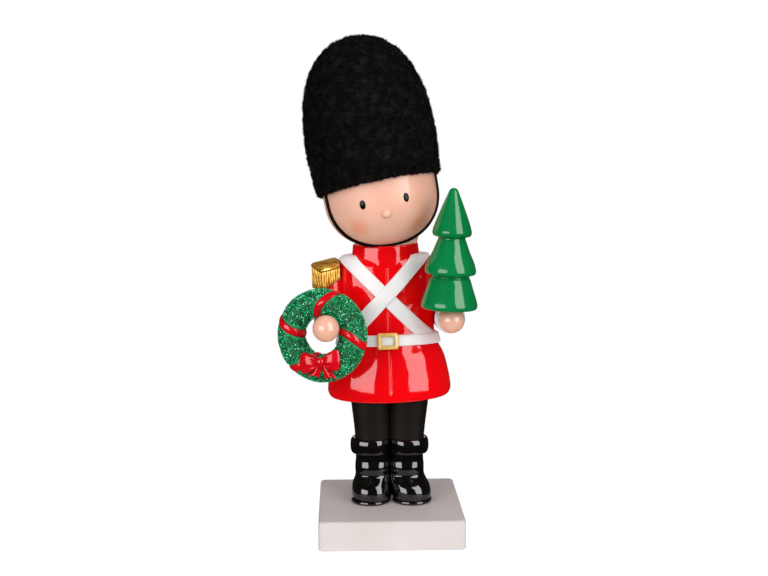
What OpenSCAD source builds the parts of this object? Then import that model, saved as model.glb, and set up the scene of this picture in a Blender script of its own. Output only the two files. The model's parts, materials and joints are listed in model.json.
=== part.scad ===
// Guardsman figurine with a bearskin hat, a wreath and a small fir tree.
// Millimetres. +Z is up, the figure faces -Y, its own left hand is on +X.
// The origin is the middle of the plinth's underside.

/* [Plinth] */
// Side of the square plinth
plinth_side = 80; // [60:1:110]
// Height of the plinth
plinth_h = 16.4; // [10:0.2:30]
// Radius of its soft edges
plinth_edge = 2; // [0.5:0.1:3]

/* [Boots and legs] */
// Distance of each leg's axis from the middle plane
leg_x = 11.2; // [11.2:0.1:13]
// Height of a boot from the plinth to its top
boot_h = 33.6; // [28:0.2:40]
// Half width of the boot's foot
foot_half_w = 10.6; // [8:0.1:10.8]
// Length of the foot
foot_l = 26; // [24:0.5:34]
// How far the toes of the right foot turn outwards, in degrees
right_foot_turn = 1; // [0:1:8]
// How far the toes of the left foot turn outwards, in degrees
left_foot_turn = 6; // [0:1:8]
// How far both feet stand over towards the figure's left
foot_shift = 0.9; // [0:0.1:1]
// Thickness of the sole
sole_t = 2; // [1:0.1:3]
// How far the sole's welt stands out round the foot
sole_welt = 0.2; // [0.1:0.1:0.6]
// Outer radius of the rolled boot top
roll_r = 10.9; // [10:0.1:11.1]
// Height of the rolled boot top
roll_h = 8.8; // [6:0.2:12]
// Radius of a trouser leg at the boot
leg_r_low = 8.4; // [7:0.1:8.6]
// Radius of a trouser leg under the tunic
leg_r_top = 10.9; // [9:0.1:11]
// Diameter of the steel pin in each leg
leg_pin_d = 4; // [2:0.5:5]

/* [Tunic] */
// Height of the hem above the plinth's underside
hem_z = 77.3; // [70:0.5:84]
// Height of the shoulders above the plinth's underside
shoulder_z = 156.3; // [148:0.5:162]
// Half width of the tunic at the hem
hem_half_w = 34.5; // [31:0.5:38]
// Depth of the tunic as a share of its width
tunic_depth_share = 0.7; // [0.62:0.01:0.8]
// Distance of the flat that each arm seats on from the middle
arm_flat_x = 25.4; // [23:0.1:25.6]
// How far the upper body leans towards its right hand, in degrees
lean_angle = 1.6; // [0:0.1:3]
// Width of the seam down the front
seam_w = 0.9; // [0.4:0.1:1.4]
// Depth of the seam
seam_depth = 0.5; // [0.2:0.1:1]

/* [Belts] */
// Height of the middle of the waist belt, as a share of the tunic's height
waist_share = 0.413; // [0.38:0.001:0.46]
// Height of the waist belt's band
waist_belt_h = 6; // [4:0.1:8]
// Thickness of the waist belt
waist_belt_t = 1.7; // [1:0.1:2.4]
// How far the front of the waist belt rises, in degrees
waist_belt_tilt = 5; // [0:0.5:8]
// Width of the two cross belts
cross_belt_w = 8; // [5:0.1:10]
// Thickness of the cross belt that lies underneath
cross_under_t = 1.2; // [0.8:0.1:1.6]
// Thickness of the cross belt that lies on top
cross_over_t = 2.2; // [2:0.1:3]
// Distance from their crossing at which the cross belts pass over the shoulders
cross_top_x = 20.2; // [17:0.1:22]
// Height at which the cross belts meet on the chest, as a share of the tunic's height
cross_share = 0.7355; // [0.68:0.0005:0.78]
// Width of the buckle
buckle_w = 11.5; // [8:0.1:14]
// Height of the buckle
buckle_h = 9; // [7.5:0.1:11]
// Width of the bars of the buckle
buckle_bar = 2.1; // [1:0.1:2.8]
// Thickness of the buckle
buckle_t = 1.4; // [0.8:0.1:2]

/* [Collar and head] */
// Height of the collar
collar_h = 5.4; // [4:0.1:8]
// Half width of the collar where it meets the shoulders
collar_half_w = 19; // [17:0.1:20]
// Half width of the collar's upper edge
collar_top_half_w = 18; // [16:0.1:20]
// Depth of the collar as a share of its width
collar_depth_share = 0.76; // [0.7:0.01:0.8]
// Tilt of the head against the body, in degrees
head_tilt = 8.1; // [0:0.1:10]
// Offset of the chin from the body's axis
head_shift = 1.8; // [-3:0.1:4]
// Height of the chin above the collar
chin_rise = 0.5; // [0.2:0.1:3]
// Radius of the neck's foot in the tunic
neck_r = 10; // [8:0.1:11]
// Thickness of the collar's upper edge
collar_wall = 1.8; // [1.2:0.1:2.6]
// Radius of the head
head_r = 31.3; // [28:0.1:33]
// Height of the rounded lower half of the head
jaw_h = 28; // [24:0.1:30]
// Height of the face from the chin to the middle of the hat's rim
face_h = 33.4; // [31:0.1:36]
// Turn of the face towards the figure's left, in degrees
face_turn = 2; // [-6:0.5:6]
// Angle of each eye from the middle of the face, in degrees
eye_angle = 22; // [16:0.5:28]
// Height of the eyes above the chin
eye_h = 26; // [22:0.1:28]
// Width of an eye
eye_w = 3.2; // [2:0.1:4]
// Height of an eye
eye_tall = 4.8; // [3:0.1:6]
// Height of the nose above the chin
nose_h = 19.3; // [15:0.1:22]
// Radius of the nose
nose_r = 2.5; // [1.5:0.1:3.5]
// Width of the chin strap
strap_w = 1.5; // [1:0.1:2.5]
// Thickness of the chin strap
strap_t = 0.8; // [0.6:0.1:1.5]

/* [Hat] */
// Largest radius of the hat
hat_r = 36.2; // [34:0.1:40]
// Height of the hat from the middle of its rim to its crown
hat_h = 82.2; // [65:0.1:95]
// Backwards tilt of the rim, in degrees
rim_tilt = 7; // [0:0.5:10]
// Sideways tilt of the rim, in degrees
rim_roll = 2; // [-4:0.5:4]
// Radius of the plug on top of the head that fills the hat's socket
plug_r = 14; // [8:0.5:18]
// Height of that plug
plug_h = 12; // [6:0.5:20]

/* [Arms] */
// Distance of the shoulder and the elbow from the body's axis
arm_x = 31.4; // [31:0.1:33]
// Radius of the sleeve at the shoulder
shoulder_r = 8; // [7:0.1:8.4]
// Drop of the shoulder ball's centre below the top of the tunic
shoulder_drop = 14; // [12:0.1:16]
// Radius of the sleeve from the elbow on
sleeve_r = 8.4; // [7:0.1:8.5]
// Radius of the sleeve's bend along its middle line
elbow_r = 9; // [8.6:0.1:12]
// How far the forearms point outwards, in degrees
forearm_turn = 3; // [0:0.5:6]
// Radius of a hand
hand_r = 7; // [6:0.1:7.5]
// Drop of the right hand's centre below the top of the tunic
right_hand_drop = 32.7; // [31:0.1:35]
// Drop of the left hand's centre below the top of the tunic
left_hand_drop = 32.3; // [30:0.1:34]
// Reach of the left hand in front of the body's axis
left_reach = 32.5; // [31:0.5:38]
// Radius of a wrist
wrist_r = 2.6; // [2:0.1:3]
// Outer radius of the white cuffs
cuff_r = 8.2; // [7:0.1:9]
// Length of a white cuff along the arm
cuff_l = 4; // [2.5:0.1:6]
// Diameter of the pegs that carry the arms
arm_peg_d = 6; // [4:0.5:8]

/* [Epaulettes] */
// Length of an epaulette from the neck outwards
pad_l = 13.4; // [11:0.1:15]
// Depth of an epaulette from front to back
pad_d = 14.6; // [12:0.1:16]
// Thickness of its plate
pad_t = 2.2; // [1.5:0.1:3]
// Height of the top of the plate above the shoulder ball's centre
pad_rise = 11.4; // [10.8:0.1:13]
// Turn of the epaulette towards the front, in degrees
pad_turn = 21; // [0:1:30]
// Fall of the plate towards the front, in degrees
pad_fall = 7; // [0:1:16]
// Fall of the plate outwards, in degrees
pad_slope = 10; // [0:1:12]
// Height of the fringe's cords at the outer end
fringe_h = 12.5; // [8:0.1:14]
// Number of cords on the outer end
fringe_count = 6; // [4:1:8]

/* [Tree] */
// Height of the tree
tree_h = 63.6; // [50:0.2:75]
// Largest radius of the lowest tier
tree_r = 14.4; // [12:0.1:17]
// Lean of the tree away from the body, in degrees
tree_lean = 3.6; // [0:0.1:5]
// Offset of the tree from the middle of the hand
tree_shift = -0.9; // [-2:0.1:2]
// Diameter of the pin that carries the tree
tree_pin_d = 2.5; // [1.5:0.1:4]

/* [Wreath] */
// Radius of the wreath's middle circle
wreath_r = 17.5; // [17.2:0.1:22]
// Radius of the wreath's roll
wreath_roll_r = 7.8; // [6:0.1:8]
// Turn of the wreath towards the figure's right, in degrees
wreath_turn = 20; // [10:1:30]
// Lean of the wreath's top towards the body, in degrees
wreath_lean = 5; // [0:0.5:8]
// Distance of the wreath's middle in front of the body's axis
wreath_reach = 30; // [29:0.5:32]
// Offset of the wreath's middle outwards from the arm's axis
wreath_out = 3.2; // [0:0.1:4]
// Width of the ribbons round the wreath
band_w = 3.9; // [3:0.1:6]
// Thickness of the ribbons
band_t = 0.7; // [0.4:0.1:1.2]
// Distance of a bow loop's outer end from the knot
bow_reach = 11.4; // [8:0.1:14]
// Height of a bow loop
bow_h = 12.6; // [8:0.1:15]
// Thickness of the bow
bow_t = 3.2; // [2:0.1:4]
// Length of the bow's tails
tail_l = 9.4; // [8:0.1:14]
// Offset of the knot from the bottom of the wreath
bow_shift = 2.6; // [-3:0.1:3]

/* [Fits] */
// Gap between pieces that seat on a curved or a slanted face
seat_gap = 0.15; // [0.1:0.05:0.3]
// Gap round a pin or plug in its socket
socket_gap = 0.1; // [0.05:0.05:0.2]

/* [Hidden] */

right = -1;
left = 1;
$fn = 64;

// One overrun serves every cut
overrun = 40;

// Paints, in the colours of the figure
plinth_paint = [0.72, 0.69, 0.68];
trouser_paint = [0.13, 0.12, 0.11];
boot_paint = [0.04, 0.04, 0.04];
tunic_paint = [0.86, 0.02, 0.04];
belt_paint = [0.93, 0.92, 0.92];
skin_paint = [0.93, 0.7, 0.6];
flock_paint = [0.03, 0.03, 0.03];
gold_paint = [0.8, 0.6, 0.25];
fir_paint = [0, 0.48, 0.25];
wreath_paint = [0.05, 0.45, 0.25];
ribbon_paint = [0.75, 0.02, 0.06];
steel_paint = [0.7, 0.7, 0.72];

// Heights of the stack from the plinth up
sole_z = plinth_h;
boot_z = sole_z + sole_t;
boot_top_z = plinth_h + boot_h;
roll_mid_z = boot_top_z - roll_h / 7;
web_front = foot_half_w / 5;
web_back = foot_half_w / 2;
web_rise = boot_h * 0.3;
leg_pin_depth = plinth_h * 0.6;
leg_pin_z = plinth_h - leg_pin_depth;
leg_pin_rise = 14;
leg_pin_l = boot_top_z + leg_pin_rise - leg_pin_z;
tenon_r = leg_r_top * 0.55;
tenon_h = 9;

// Outline of the foot: toe and heel circles, with the heel behind the leg's axis
toe_r = foot_half_w;
heel_r = foot_half_w * 0.86;
heel_back = foot_l * 0.48;
toe_front = foot_l - heel_back;

// Boot sections from the sole up: height, half width, reach to the front and to the
// back, as shares of the boot's height, the foot's half width and the toe and heel
boot_section_shares = [
    [0, 0.93, 0.95, 0.95], [0.03, 1, 1, 1], [0.12, 1.03, 1.01, 1],
    [0.22, 0.98, 0.96, 0.95], [0.3, 0.9, 0.84, 0.86], [0.37, 0.82, 0.68, 0.76],
    [0.44, 0.79, 0.6, 0.69], [0.52, 0.79, 0.62, 0.67], [0.6, 0.77, 0.64, 0.65],
    [0.68, 0.75, 0.62, 0.63], [0.8, 0.75, 0.58, 0.63], [1, 0.81, 0.6, 0.67]
];

// Rolled boot top: it leaves room for the trouser leg and the boot inside
roll_bore_r = foot_half_w * 0.81 + seat_gap * 3;

// Half widths of the tunic from the hem up, as shares of the hem's half width, and
// their heights as shares of the tunic's height
tunic_h = shoulder_z - hem_z;
tunic_outline_shares = [
    [0.9, 0], [0.96, 0.01], [1, 0.045], [0.998, 0.09], [0.974, 0.16], [0.922, 0.265],
    [0.872, 0.323], [0.812, 0.372], [0.774, 0.425], [0.768, 0.5], [0.78, 0.62],
    [0.785, 0.76], [0.778, 0.87], [0.762, 0.95], [0.715, 0.99], [0.64, 1]
];
hem_body_depth = hem_half_w * tunic_depth_share;

// Half width of the tunic at a height
tunic_width_table = [
    for (p = smooth(sized(tunic_outline_shares, hem_half_w, tunic_h), 2)) [hem_z + p[1], p[0]]
];
function tunic_half_w(z) = lookup(z, tunic_width_table);

// Heights of the arms below the top of the tunic
shoulder_ball_z = shoulder_z - shoulder_drop;
right_hand_z = shoulder_z - right_hand_drop;
left_hand_z = shoulder_z - left_hand_drop;
arm_flat_bottom_z = left_hand_z - sleeve_r - elbow_r / 6;

// Waist, where the belts and the buckle lie
waist_z = hem_z + waist_share * tunic_h;
waist_half_w = tunic_half_w(waist_z + waist_belt_h / 4);
waist_depth = waist_half_w * tunic_depth_share;
buckle_z = waist_z + waist_depth * sin(waist_belt_tilt);
belt_low_y = tunic_half_w(buckle_z - waist_belt_h / 2) * tunic_depth_share;
belt_high_y = tunic_half_w(buckle_z + waist_belt_h / 2) * tunic_depth_share;
buckle_lean = atan((belt_low_y - belt_high_y) / waist_belt_h);
buckle_y = max(waist_depth, (belt_low_y + belt_high_y) / 2) + waist_belt_t + seat_gap * 2.5;
buckle_x = -hem_half_w / 40;

// Crossing of the cross belts, and their slope up to the shoulders
cross_x = -hem_half_w / 26;
cross_z = hem_z + cross_share * tunic_h;
cross_angle = atan((shoulder_z - cross_z) / cross_top_x);

// Collar and neck
collar_top_z = shoulder_z + collar_h;
neck_peg_r = neck_r * 0.45;
neck_peg_depth = 12;
chin_z = collar_top_z + chin_rise;
neck_foot = 3;
neck_rise = 7;

// Hat
hat_outline_shares = [
    [0.925, -0.094], [0.945, -0.021], [0.967, 0.028], [0.978, 0.077], [0.986, 0.175],
    [1, 0.273], [0.992, 0.371], [0.973, 0.469], [0.942, 0.567], [0.886, 0.665],
    [0.801, 0.763], [0.736, 0.812], [0.66, 0.861], [0.553, 0.91], [0.384, 0.96],
    [0.2, 0.988], [0, 1]
];

// Face
eye_depth = 0.9;
eye_rise = 0.1;
nose_seat = 1.2;
strap_centre_y = -head_r / 4.5;
strap_turn = 11;
strap_pitch = 6;

// Arms
arm_peg_z = shoulder_ball_z - shoulder_r * 0.9;
arm_peg_reach = 8;
sleeve_bore_l = 8;
left_arm = [left_hand_z, left_reach, left_reach - hand_r * 0.72];

// Epaulettes
pad_edge = 1.1;
cord_r = pad_d / fringe_count / 2;
cord_count_side = floor(pad_l / (2 * cord_r));
fringe_drop = pad_l * 0.42;

// Tree
tree_outline_shares = [
    [0.86, 0.012], [0.96, 0.016], [1, 0.035], [0.985, 0.06], [0.9, 0.12], [0.68, 0.27],
    [0.66, 0.285], [0.71, 0.295], [0.85, 0.305], [0.877, 0.325], [0.86, 0.35], [0.76, 0.42],
    [0.475, 0.585], [0.46, 0.6], [0.5, 0.61], [0.64, 0.62], [0.667, 0.64], [0.65, 0.665],
    [0.56, 0.73], [0.13, 0.965], [0.085, 0.985], [0, 1]
];
tree_pin_l = 13;

// Wreath
wreath_x = right * (arm_x + wreath_reach * sin(forearm_turn) + wreath_out);
wrist_start = [right * arm_x, 0, right_hand_z];
wrist_direction = [right * sin(forearm_turn), -cos(forearm_turn), 0];
ribbon_outer_angles = [21, 102, -69, -137];
ribbon_inner_angles = [-8, 72, -86, -166];
knot_drop = wreath_r * 0.76;
knot_r = 2.2;
tail_w = 6;
tail_notch = 2.5;
// Reach, half height and half thickness along half the bow, as shares of its sizes
bow_loop_shares = [
    [0, 0.17, 0.62], [0.2, 0.24, 0.7], [0.45, 0.36, 0.92], [0.7, 0.47, 1], [0.88, 0.5, 0.85],
    [0.97, 0.42, 0.5], [1, 0.34, 0.2]
];
bow_y = -(wreath_roll_r + seat_gap + band_t + seat_gap);

// A smooth curve through a list of points, with some steps between each two
function curve_point(a, b, c, d, t) =
    0.5 * (2 * b + (c - a) * t + (2 * a - 5 * b + 4 * c - d) * t * t
    + (3 * b - a - 3 * c + d) * t * t * t);
function smooth(points, steps) = [
    for (i = [0:len(points) - 2], s = [0:steps - 1])
        curve_point(points[max(i - 1, 0)], points[i], points[i + 1],
                    points[min(i + 2, len(points) - 1)], s / steps),
    points[len(points) - 1]
];

// A list of shares as sizes, each pair scaled by a width and a height
function sized(shares, width, height) = [for (p = shares) [p[0] * width, p[1] * height]];

// A ring of points: a rounded oval with its own reach to the front and to the back
function oval(z, half_w, front, back, count) = [
    for (i = [0:count - 1])
        let (a = 360 * i / count, c = cos(a), s = sin(a), power = 0.88)
        [half_w * sign(c) * pow(abs(c), power),
         (s < 0 ? front : back) * sign(s) * pow(abs(s), power), z]
];

// The value between two others at which a rising function passes zero
function crossing(f, low, high, steps = 16) =
    let (middle = (low + high) / 2)
    steps == 0 ? middle
    : f(middle) > 0 ? crossing(f, low, middle, steps - 1)
    : crossing(f, middle, high, steps - 1);

// Points on the middle circle of the wreath's roll, with the wreath at a height
function wreath_circle(height) = [
    for (i = [0:71])
        let (a = 360 * i / 72, x = wreath_r * sin(a), y = wreath_r * cos(a) * sin(wreath_lean))
        [wreath_x + x * cos(wreath_turn) + y * sin(wreath_turn),
         y * cos(wreath_turn) - x * sin(wreath_turn) - wreath_reach,
         height + wreath_r * cos(a) * cos(wreath_lean)]
];

// The wreath hangs at the height at which its hole just clears the wrist
wreath_z = crossing(
    function(height)
        min([for (p = wreath_circle(height)) norm(cross(p - wrist_start, wrist_direction))])
        - wreath_roll_r - wrist_r - seat_gap * 2,
    right_hand_z - wreath_r, right_hand_z);

// The right hand lies before the wreath, as near as the roll and its ribbons allow
right_reach = crossing(
    function(reach)
        min([for (p = wreath_circle(wreath_z)) norm(p - wrist_start - reach * wrist_direction)])
        - wreath_roll_r - band_t - hand_r - seat_gap * 3,
    wreath_reach, wreath_reach + 2 * wreath_r);
right_arm = [right_hand_z, right_reach,
             wreath_reach - wreath_roll_r - wreath_r * sin(wreath_lean) - band_t - seat_gap * 4];

// A closed skin over rings with equal counts of points
module skin(rings) {
    count = len(rings[0]);
    last = len(rings) - 1;
    points = [for (ring = rings, p = ring) p];
    walls = [
        for (r = [0:last - 1], i = [0:count - 1])
            let (a = r * count + i, b = r * count + (i + 1) % count)
            each [[a, a + count, b], [b, a + count, b + count]]
    ];
    floor_face = [for (i = [0:count - 1]) i];
    roof_face = [for (i = [0:count - 1]) last * count + count - 1 - i];
    polyhedron(points, concat([floor_face], walls, [roof_face]), convexity = 6);
}

// A closed loop of sections, each joined to the next and the last to the first
module loop_skin(rings) {
    count = len(rings[0]);
    total = len(rings);
    points = [for (ring = rings, p = ring) p];
    walls = [
        for (r = [0:total - 1], i = [0:count - 1])
            let (next = (r + 1) % total, j = (i + 1) % count,
                 a = r * count + i, b = r * count + j,
                 c = next * count + i, d = next * count + j)
            each [[a, c, b], [b, c, d]]
    ];
    polyhedron(points, walls, convexity = 6);
}

// The upper body leans about the middle of the hem
module lean() {
    translate([0, 0, hem_z]) rotate([0, -lean_angle, 0]) translate([0, 0, -hem_z]) children();
}

// Pieces are drawn for the figure's left side and mirrored for its right one
module on_side(side) {
    mirror([side == right ? 1 : 0, 0, 0]) children();
}

// The head's own frame stands on the chin's lowest point
module head_frame() {
    lean() translate([head_shift, 0, chin_z]) rotate([0, -head_tilt, 0]) children();
}

// A block that fills everything above a plane through the frame's origin
module above_plane() {
    translate([-overrun, -overrun, 0]) cube([2 * overrun, 2 * overrun, 2 * overrun]);
}

// A block that fills everything below a plane through the frame's origin
module below_plane() {
    mirror([0, 0, 1]) above_plane();
}

// Plinth
module soft_slab(side, height, edge) {
    inset = side / 2 - edge;
    hull()
        for (x = [-inset, inset], y = [-inset, inset], z = [edge, height - edge])
            translate([x, y, z]) sphere(edge, $fn = 24);
}

module leg_pin_shape(gap) {
    translate([leg_x, 0, leg_pin_z - gap]) cylinder(d = leg_pin_d + 2 * gap, h = leg_pin_l + 2 * gap);
}

module base_plinth() {
    color(plinth_paint)
        difference() {
            soft_slab(plinth_side, plinth_h, plinth_edge);
            for (side = [right, left]) on_side(side) leg_pin_shape(socket_gap);
        }
}

module leg_pin(side) {
    color(steel_paint) on_side(side) leg_pin_shape(0);
}

// Boots
module foot_frame(side) {
    translate([leg_x, 0, 0]) rotate(side == right ? right_foot_turn : left_foot_turn) children();
}

// Half of the web that joins the two legs, up to a hair from the middle plane
module leg_web(low_z, high_z) {
    translate([socket_gap, -web_front, low_z])
        cube([leg_x - socket_gap, web_front + web_back, high_z - low_z]);
}

module boot_sole(side) {
    color(boot_paint) on_side(side)
        difference() {
            foot_frame(side) translate([side * foot_shift, 0, sole_z])
                linear_extrude(sole_t)
                    hull() {
                        translate([0, toe_r - toe_front]) circle(toe_r + sole_welt, $fn = 48);
                        translate([0, heel_back - heel_r]) circle(heel_r + sole_welt, $fn = 48);
                    }
            leg_pin_shape(socket_gap);
        }
}

module boot(side) {
    upper_h = boot_top_z - boot_z;
    color(boot_paint) on_side(side)
        difference() {
            union() {
                foot_frame(side) translate([0, 0, boot_z])
                    skin([
                        for (s = boot_section_shares)
                            let (over = side * foot_shift * max(0, 1 - s[0] / 0.5))
                            [for (p = oval(s[0] * upper_h, s[1] * foot_half_w, s[2] * toe_front,
                                           s[3] * heel_back, 28))
                                p + [over, 0, 0]]
                    ]);
                leg_web(boot_z + web_rise, roll_mid_z - roll_h / 2 - seat_gap);
            }
            leg_pin_shape(socket_gap);
        }
}

module boot_roll(side) {
    swell = roll_r - roll_bore_r;
    color(boot_paint) on_side(side)
        translate([leg_x, 0, roll_mid_z])
            rotate_extrude()
                polygon([
                    for (i = [0:12])
                        let (a = -90 + 180 * i / 12)
                        [roll_bore_r + swell * pow(max(cos(a), 0), 0.6), roll_h / 2 * sin(a)]
                ]);
}

// Trouser legs, cut off square to the leaning body
module trouser_leg(side) {
    color(trouser_paint) on_side(side)
        difference() {
            union() {
                difference() {
                    union() {
                        translate([leg_x, 0, boot_top_z])
                            cylinder(r1 = leg_r_low, r2 = leg_r_top, h = hem_z - boot_top_z + overrun / 20);
                        leg_web(roll_mid_z + roll_h / 2 + seat_gap, hem_z + overrun / 20);
                    }
                    mirror([side == right ? 1 : 0, 0, 0]) lean() translate([0, 0, hem_z]) above_plane();
                }
                trouser_tenon(0);
            }
            leg_pin_shape(socket_gap);
        }
}

module trouser_tenon(gap) {
    translate([leg_x, 0, hem_z - leg_r_top])
        cylinder(r = tenon_r + gap, h = leg_r_top + tenon_h + gap);
}

// Tunic: one turned outline pressed flat from front to back
module tunic_form(grow, steps = 2) {
    outline = smooth(sized(tunic_outline_shares, hem_half_w, tunic_h), steps);
    top = len(outline) - 1;
    depth = hem_body_depth + grow;
    translate([0, 0, hem_z])
        scale([1, depth / (hem_half_w + grow), 1])
            rotate_extrude($fn = 144)
                polygon(concat(
                    [[0, 0]],
                    [for (i = [0:top])
                        let (p = outline[i],
                             step = outline[min(i + 1, top)] - outline[max(i - 1, 0)],
                             out = [step[1], -step[0]] / norm(step))
                        [p[0] + grow * out[0], p[1] + grow * out[1]]],
                    [[0, tunic_h + grow]]
                ));
}

module arm_flat(gap) {
    for (side = [right, left])
        on_side(side)
            translate([arm_flat_x + gap, -overrun, arm_flat_bottom_z])
                cube([overrun, 2 * overrun, shoulder_z + overrun - arm_flat_bottom_z]);
}

module arm_peg_shape(side, gap) {
    on_side(side)
        translate([arm_flat_x - arm_peg_reach - gap, 0, arm_peg_z])
            rotate([0, 90, 0]) cylinder(d = arm_peg_d + 2 * gap, h = 2 * arm_peg_reach + 2 * gap);
}

module tunic() {
    color(tunic_paint)
        difference() {
            lean()
                difference() {
                    tunic_form(0);
                    front_seam();
                    arm_flat(0);
                    neck_foot_shape(socket_gap);
                    for (side = [right, left]) arm_peg_shape(side, socket_gap);
                }
            for (side = [right, left]) on_side(side) trouser_tenon(socket_gap);
            neck_peg_shape(socket_gap);
        }
}

// The seam is a shallow groove down the front
module front_seam() {
    difference() {
        translate([-seam_w / 2, -overrun, hem_z - overrun / 20])
            cube([seam_w, overrun - neck_r - neck_foot, tunic_h + overrun]);
        tunic_form(-seam_depth);
    }
}

// A point of the waist belt, which rises a little to the front
function waist_point(angle, rise, grow) =
    let (middle = waist_half_w * tunic_depth_share * sin(angle) * tan(waist_belt_tilt),
         z = waist_z + rise - middle, half_w = tunic_half_w(z))
    [(half_w + grow) * cos(angle), (half_w * tunic_depth_share + grow) * sin(angle), z];

// The waist belt is one closed band, a little rounded on its outer face
module waist_belt() {
    steps = 72;
    rise = waist_belt_h / 2;
    soft = waist_belt_t / 3;
    color(belt_paint) lean()
        loop_skin([
            for (i = [0:steps - 1])
                let (a = 360 * i / steps, out = seat_gap * 1.5 + waist_belt_t)
                [waist_point(a, rise, seat_gap * 1.5), waist_point(a, rise, out - soft),
                 waist_point(a, rise - soft, out), waist_point(a, soft - rise, out),
                 waist_point(a, -rise, out - soft), waist_point(a, -rise, seat_gap * 1.5)]
        ]);
}

// The space that the waist belt takes, seen from the cross belts
module waist_slice(grow) {
    translate([0, 0, waist_z]) rotate([-waist_belt_tilt, 0, 0])
        translate([-overrun, -overrun, -waist_belt_h / 2 - grow])
            cube([2 * overrun, 2 * overrun, waist_belt_h + 2 * grow]);
}

// Cross belts: a slanted slice of the shell that lies on the tunic
module cross_slice(side, grow) {
    translate([cross_x, 0, cross_z]) rotate([0, side * cross_angle, 0])
        translate([-3 * overrun, -overrun, -cross_belt_w / 2 - grow])
            cube([6 * overrun, 2 * overrun, cross_belt_w + 2 * grow]);
}

module cross_belt_form(side, thickness, grow) {
    difference() {
        intersection() {
            tunic_form(seat_gap + thickness);
            cross_slice(side, grow);
            translate([0, 0, cross_z])
                cube([2 * (arm_flat_x - seat_gap), 2 * overrun, 2 * (shoulder_z - cross_z) + overrun],
                     center = true);
        }
        tunic_form(seat_gap - grow);
        waist_slice(seat_gap);
        translate([0, 0, waist_z]) rotate([-waist_belt_tilt, 0, 0]) below_plane();
        collar_form(seat_gap);
    }
}

module cross_belt_under() {
    color(belt_paint) lean() cross_belt_form(left, cross_under_t, 0);
}

module cross_belt_over() {
    color(belt_paint) lean()
        difference() {
            cross_belt_form(right, cross_over_t, 0);
            cross_belt_form(left, cross_under_t + seat_gap, seat_gap);
        }
}

module belt_buckle() {
    opening_w = buckle_w - 2 * buckle_bar;
    opening_h = buckle_h - 2 * buckle_bar;
    corner = buckle_bar / 2;
    color(gold_paint) lean()
        translate([buckle_x, -buckle_y, buckle_z])
            rotate([90 - buckle_lean, 0, 0])
                difference() {
                    linear_extrude(buckle_t) square([buckle_w, buckle_h], center = true);
                    translate([0, 0, -overrun / 2])
                        linear_extrude(overrun) square([opening_w, opening_h], center = true);
                    for (x = [-1, 1], y = [-1, 1])
                        translate([x * buckle_w / 2, y * buckle_h / 2, 0])
                            difference() {
                                translate([-corner, -corner, -overrun / 2])
                                    cube([2 * corner, 2 * corner, overrun]);
                                translate([-x * corner, -y * corner, -overrun])
                                    cylinder(r = corner, h = 2 * overrun);
                            }
                }
}

// Collar: an oval ring round the neck
module collar_form(gap) {
    half_w = collar_half_w + gap;
    top_half_w = collar_top_half_w + gap;
    skin([
        for (s = [[0, half_w], [collar_h, top_half_w]])
            [for (i = [0:63])
                let (a = 360 * i / 64)
                [s[1] * cos(a), s[1] * collar_depth_share * sin(a), shoulder_z + s[0]]]
    ]);
}

module collar() {
    color(tunic_paint)
        difference() {
            lean()
                difference() {
                    collar_form(0);
                    neck_column(socket_gap, overrun / 20);
                }
            head_dish();
        }
}

// The neck stands in the tunic's top and carries the head in a shallow dish
module neck_foot_shape(gap) {
    translate([0, 0, shoulder_z - neck_foot - gap])
        cylinder(r = neck_r + gap, h = neck_foot + overrun);
}

// The column fills the collar from the shoulders up
module neck_column(gap, below) {
    half_w = collar_top_half_w - collar_wall + gap;
    depth = collar_top_half_w * collar_depth_share - collar_wall + gap;
    skin([
        for (z = [shoulder_z - below, collar_top_z + neck_rise])
            [for (i = [0:63])
                let (a = 360 * i / 64)
                [half_w * cos(a), depth * sin(a), z]]
    ]);
}

module neck() {
    color(skin_paint)
        difference() {
            lean()
                difference() {
                    union() {
                        translate([0, 0, shoulder_z - neck_foot])
                            cylinder(r = neck_r, h = neck_foot + collar_h);
                        neck_column(0, 0);
                    }
                    translate([head_shift, strap_centre_y - jaw_h * sin(strap_pitch), collar_top_z])
                        rotate(strap_turn)
                            translate([-overrun, strap_w / 2 + seat_gap - overrun, 0])
                                cube([2 * overrun, overrun, overrun]);
                }
            head_dish();
            head_frame()
                intersection() {
                    head_form(strap_t + seat_gap * 2);
                    strap_slab(seat_gap);
                }
            neck_peg_shape(socket_gap);
        }
}

// Head
module neck_peg_shape(gap) {
    head_frame()
        translate([0, 0, -neck_peg_depth - gap])
            cylinder(r = neck_peg_r + gap, h = 2 * neck_peg_depth + 2 * gap);
}

module neck_peg() {
    color(steel_paint) neck_peg_shape(0);
}

module head_form(grow) {
    translate([0, 0, jaw_h]) {
        scale([head_r + grow, head_r + grow, jaw_h + grow]) sphere(1, $fn = 96);
        cylinder(r = head_r + grow, h = face_h - jaw_h + overrun / 4);
    }
}

module head_dish() {
    head_frame()
        translate([0, 0, jaw_h])
            scale([head_r + seat_gap, head_r + seat_gap, jaw_h + seat_gap]) sphere(1, $fn = 96);
}

module rim_plane() {
    translate([0, 0, face_h]) rotate([-rim_tilt, -rim_roll, 0]) children();
}

module face_place(angle, height) {
    reach = height < jaw_h ? head_r * sqrt(1 - pow((jaw_h - height) / jaw_h, 2)) : head_r;
    rotate(angle + face_turn) translate([0, -reach, height]) rotate([90, 0, 0]) children();
}

module eye_shape(side, gap) {
    face_place(side * eye_angle, eye_h)
        translate([0, 0, -eye_depth - gap])
            scale([(eye_w / 2 + gap) / (eye_tall / 2 + gap), 1, 1])
                cylinder(r = eye_tall / 2 + gap, h = eye_depth + eye_rise + 2 * gap);
}

module nose_pocket() {
    face_place(0, nose_h)
        translate([0, 0, -nose_seat]) cylinder(r = nose_r + socket_gap, h = overrun / 4);
}

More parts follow.
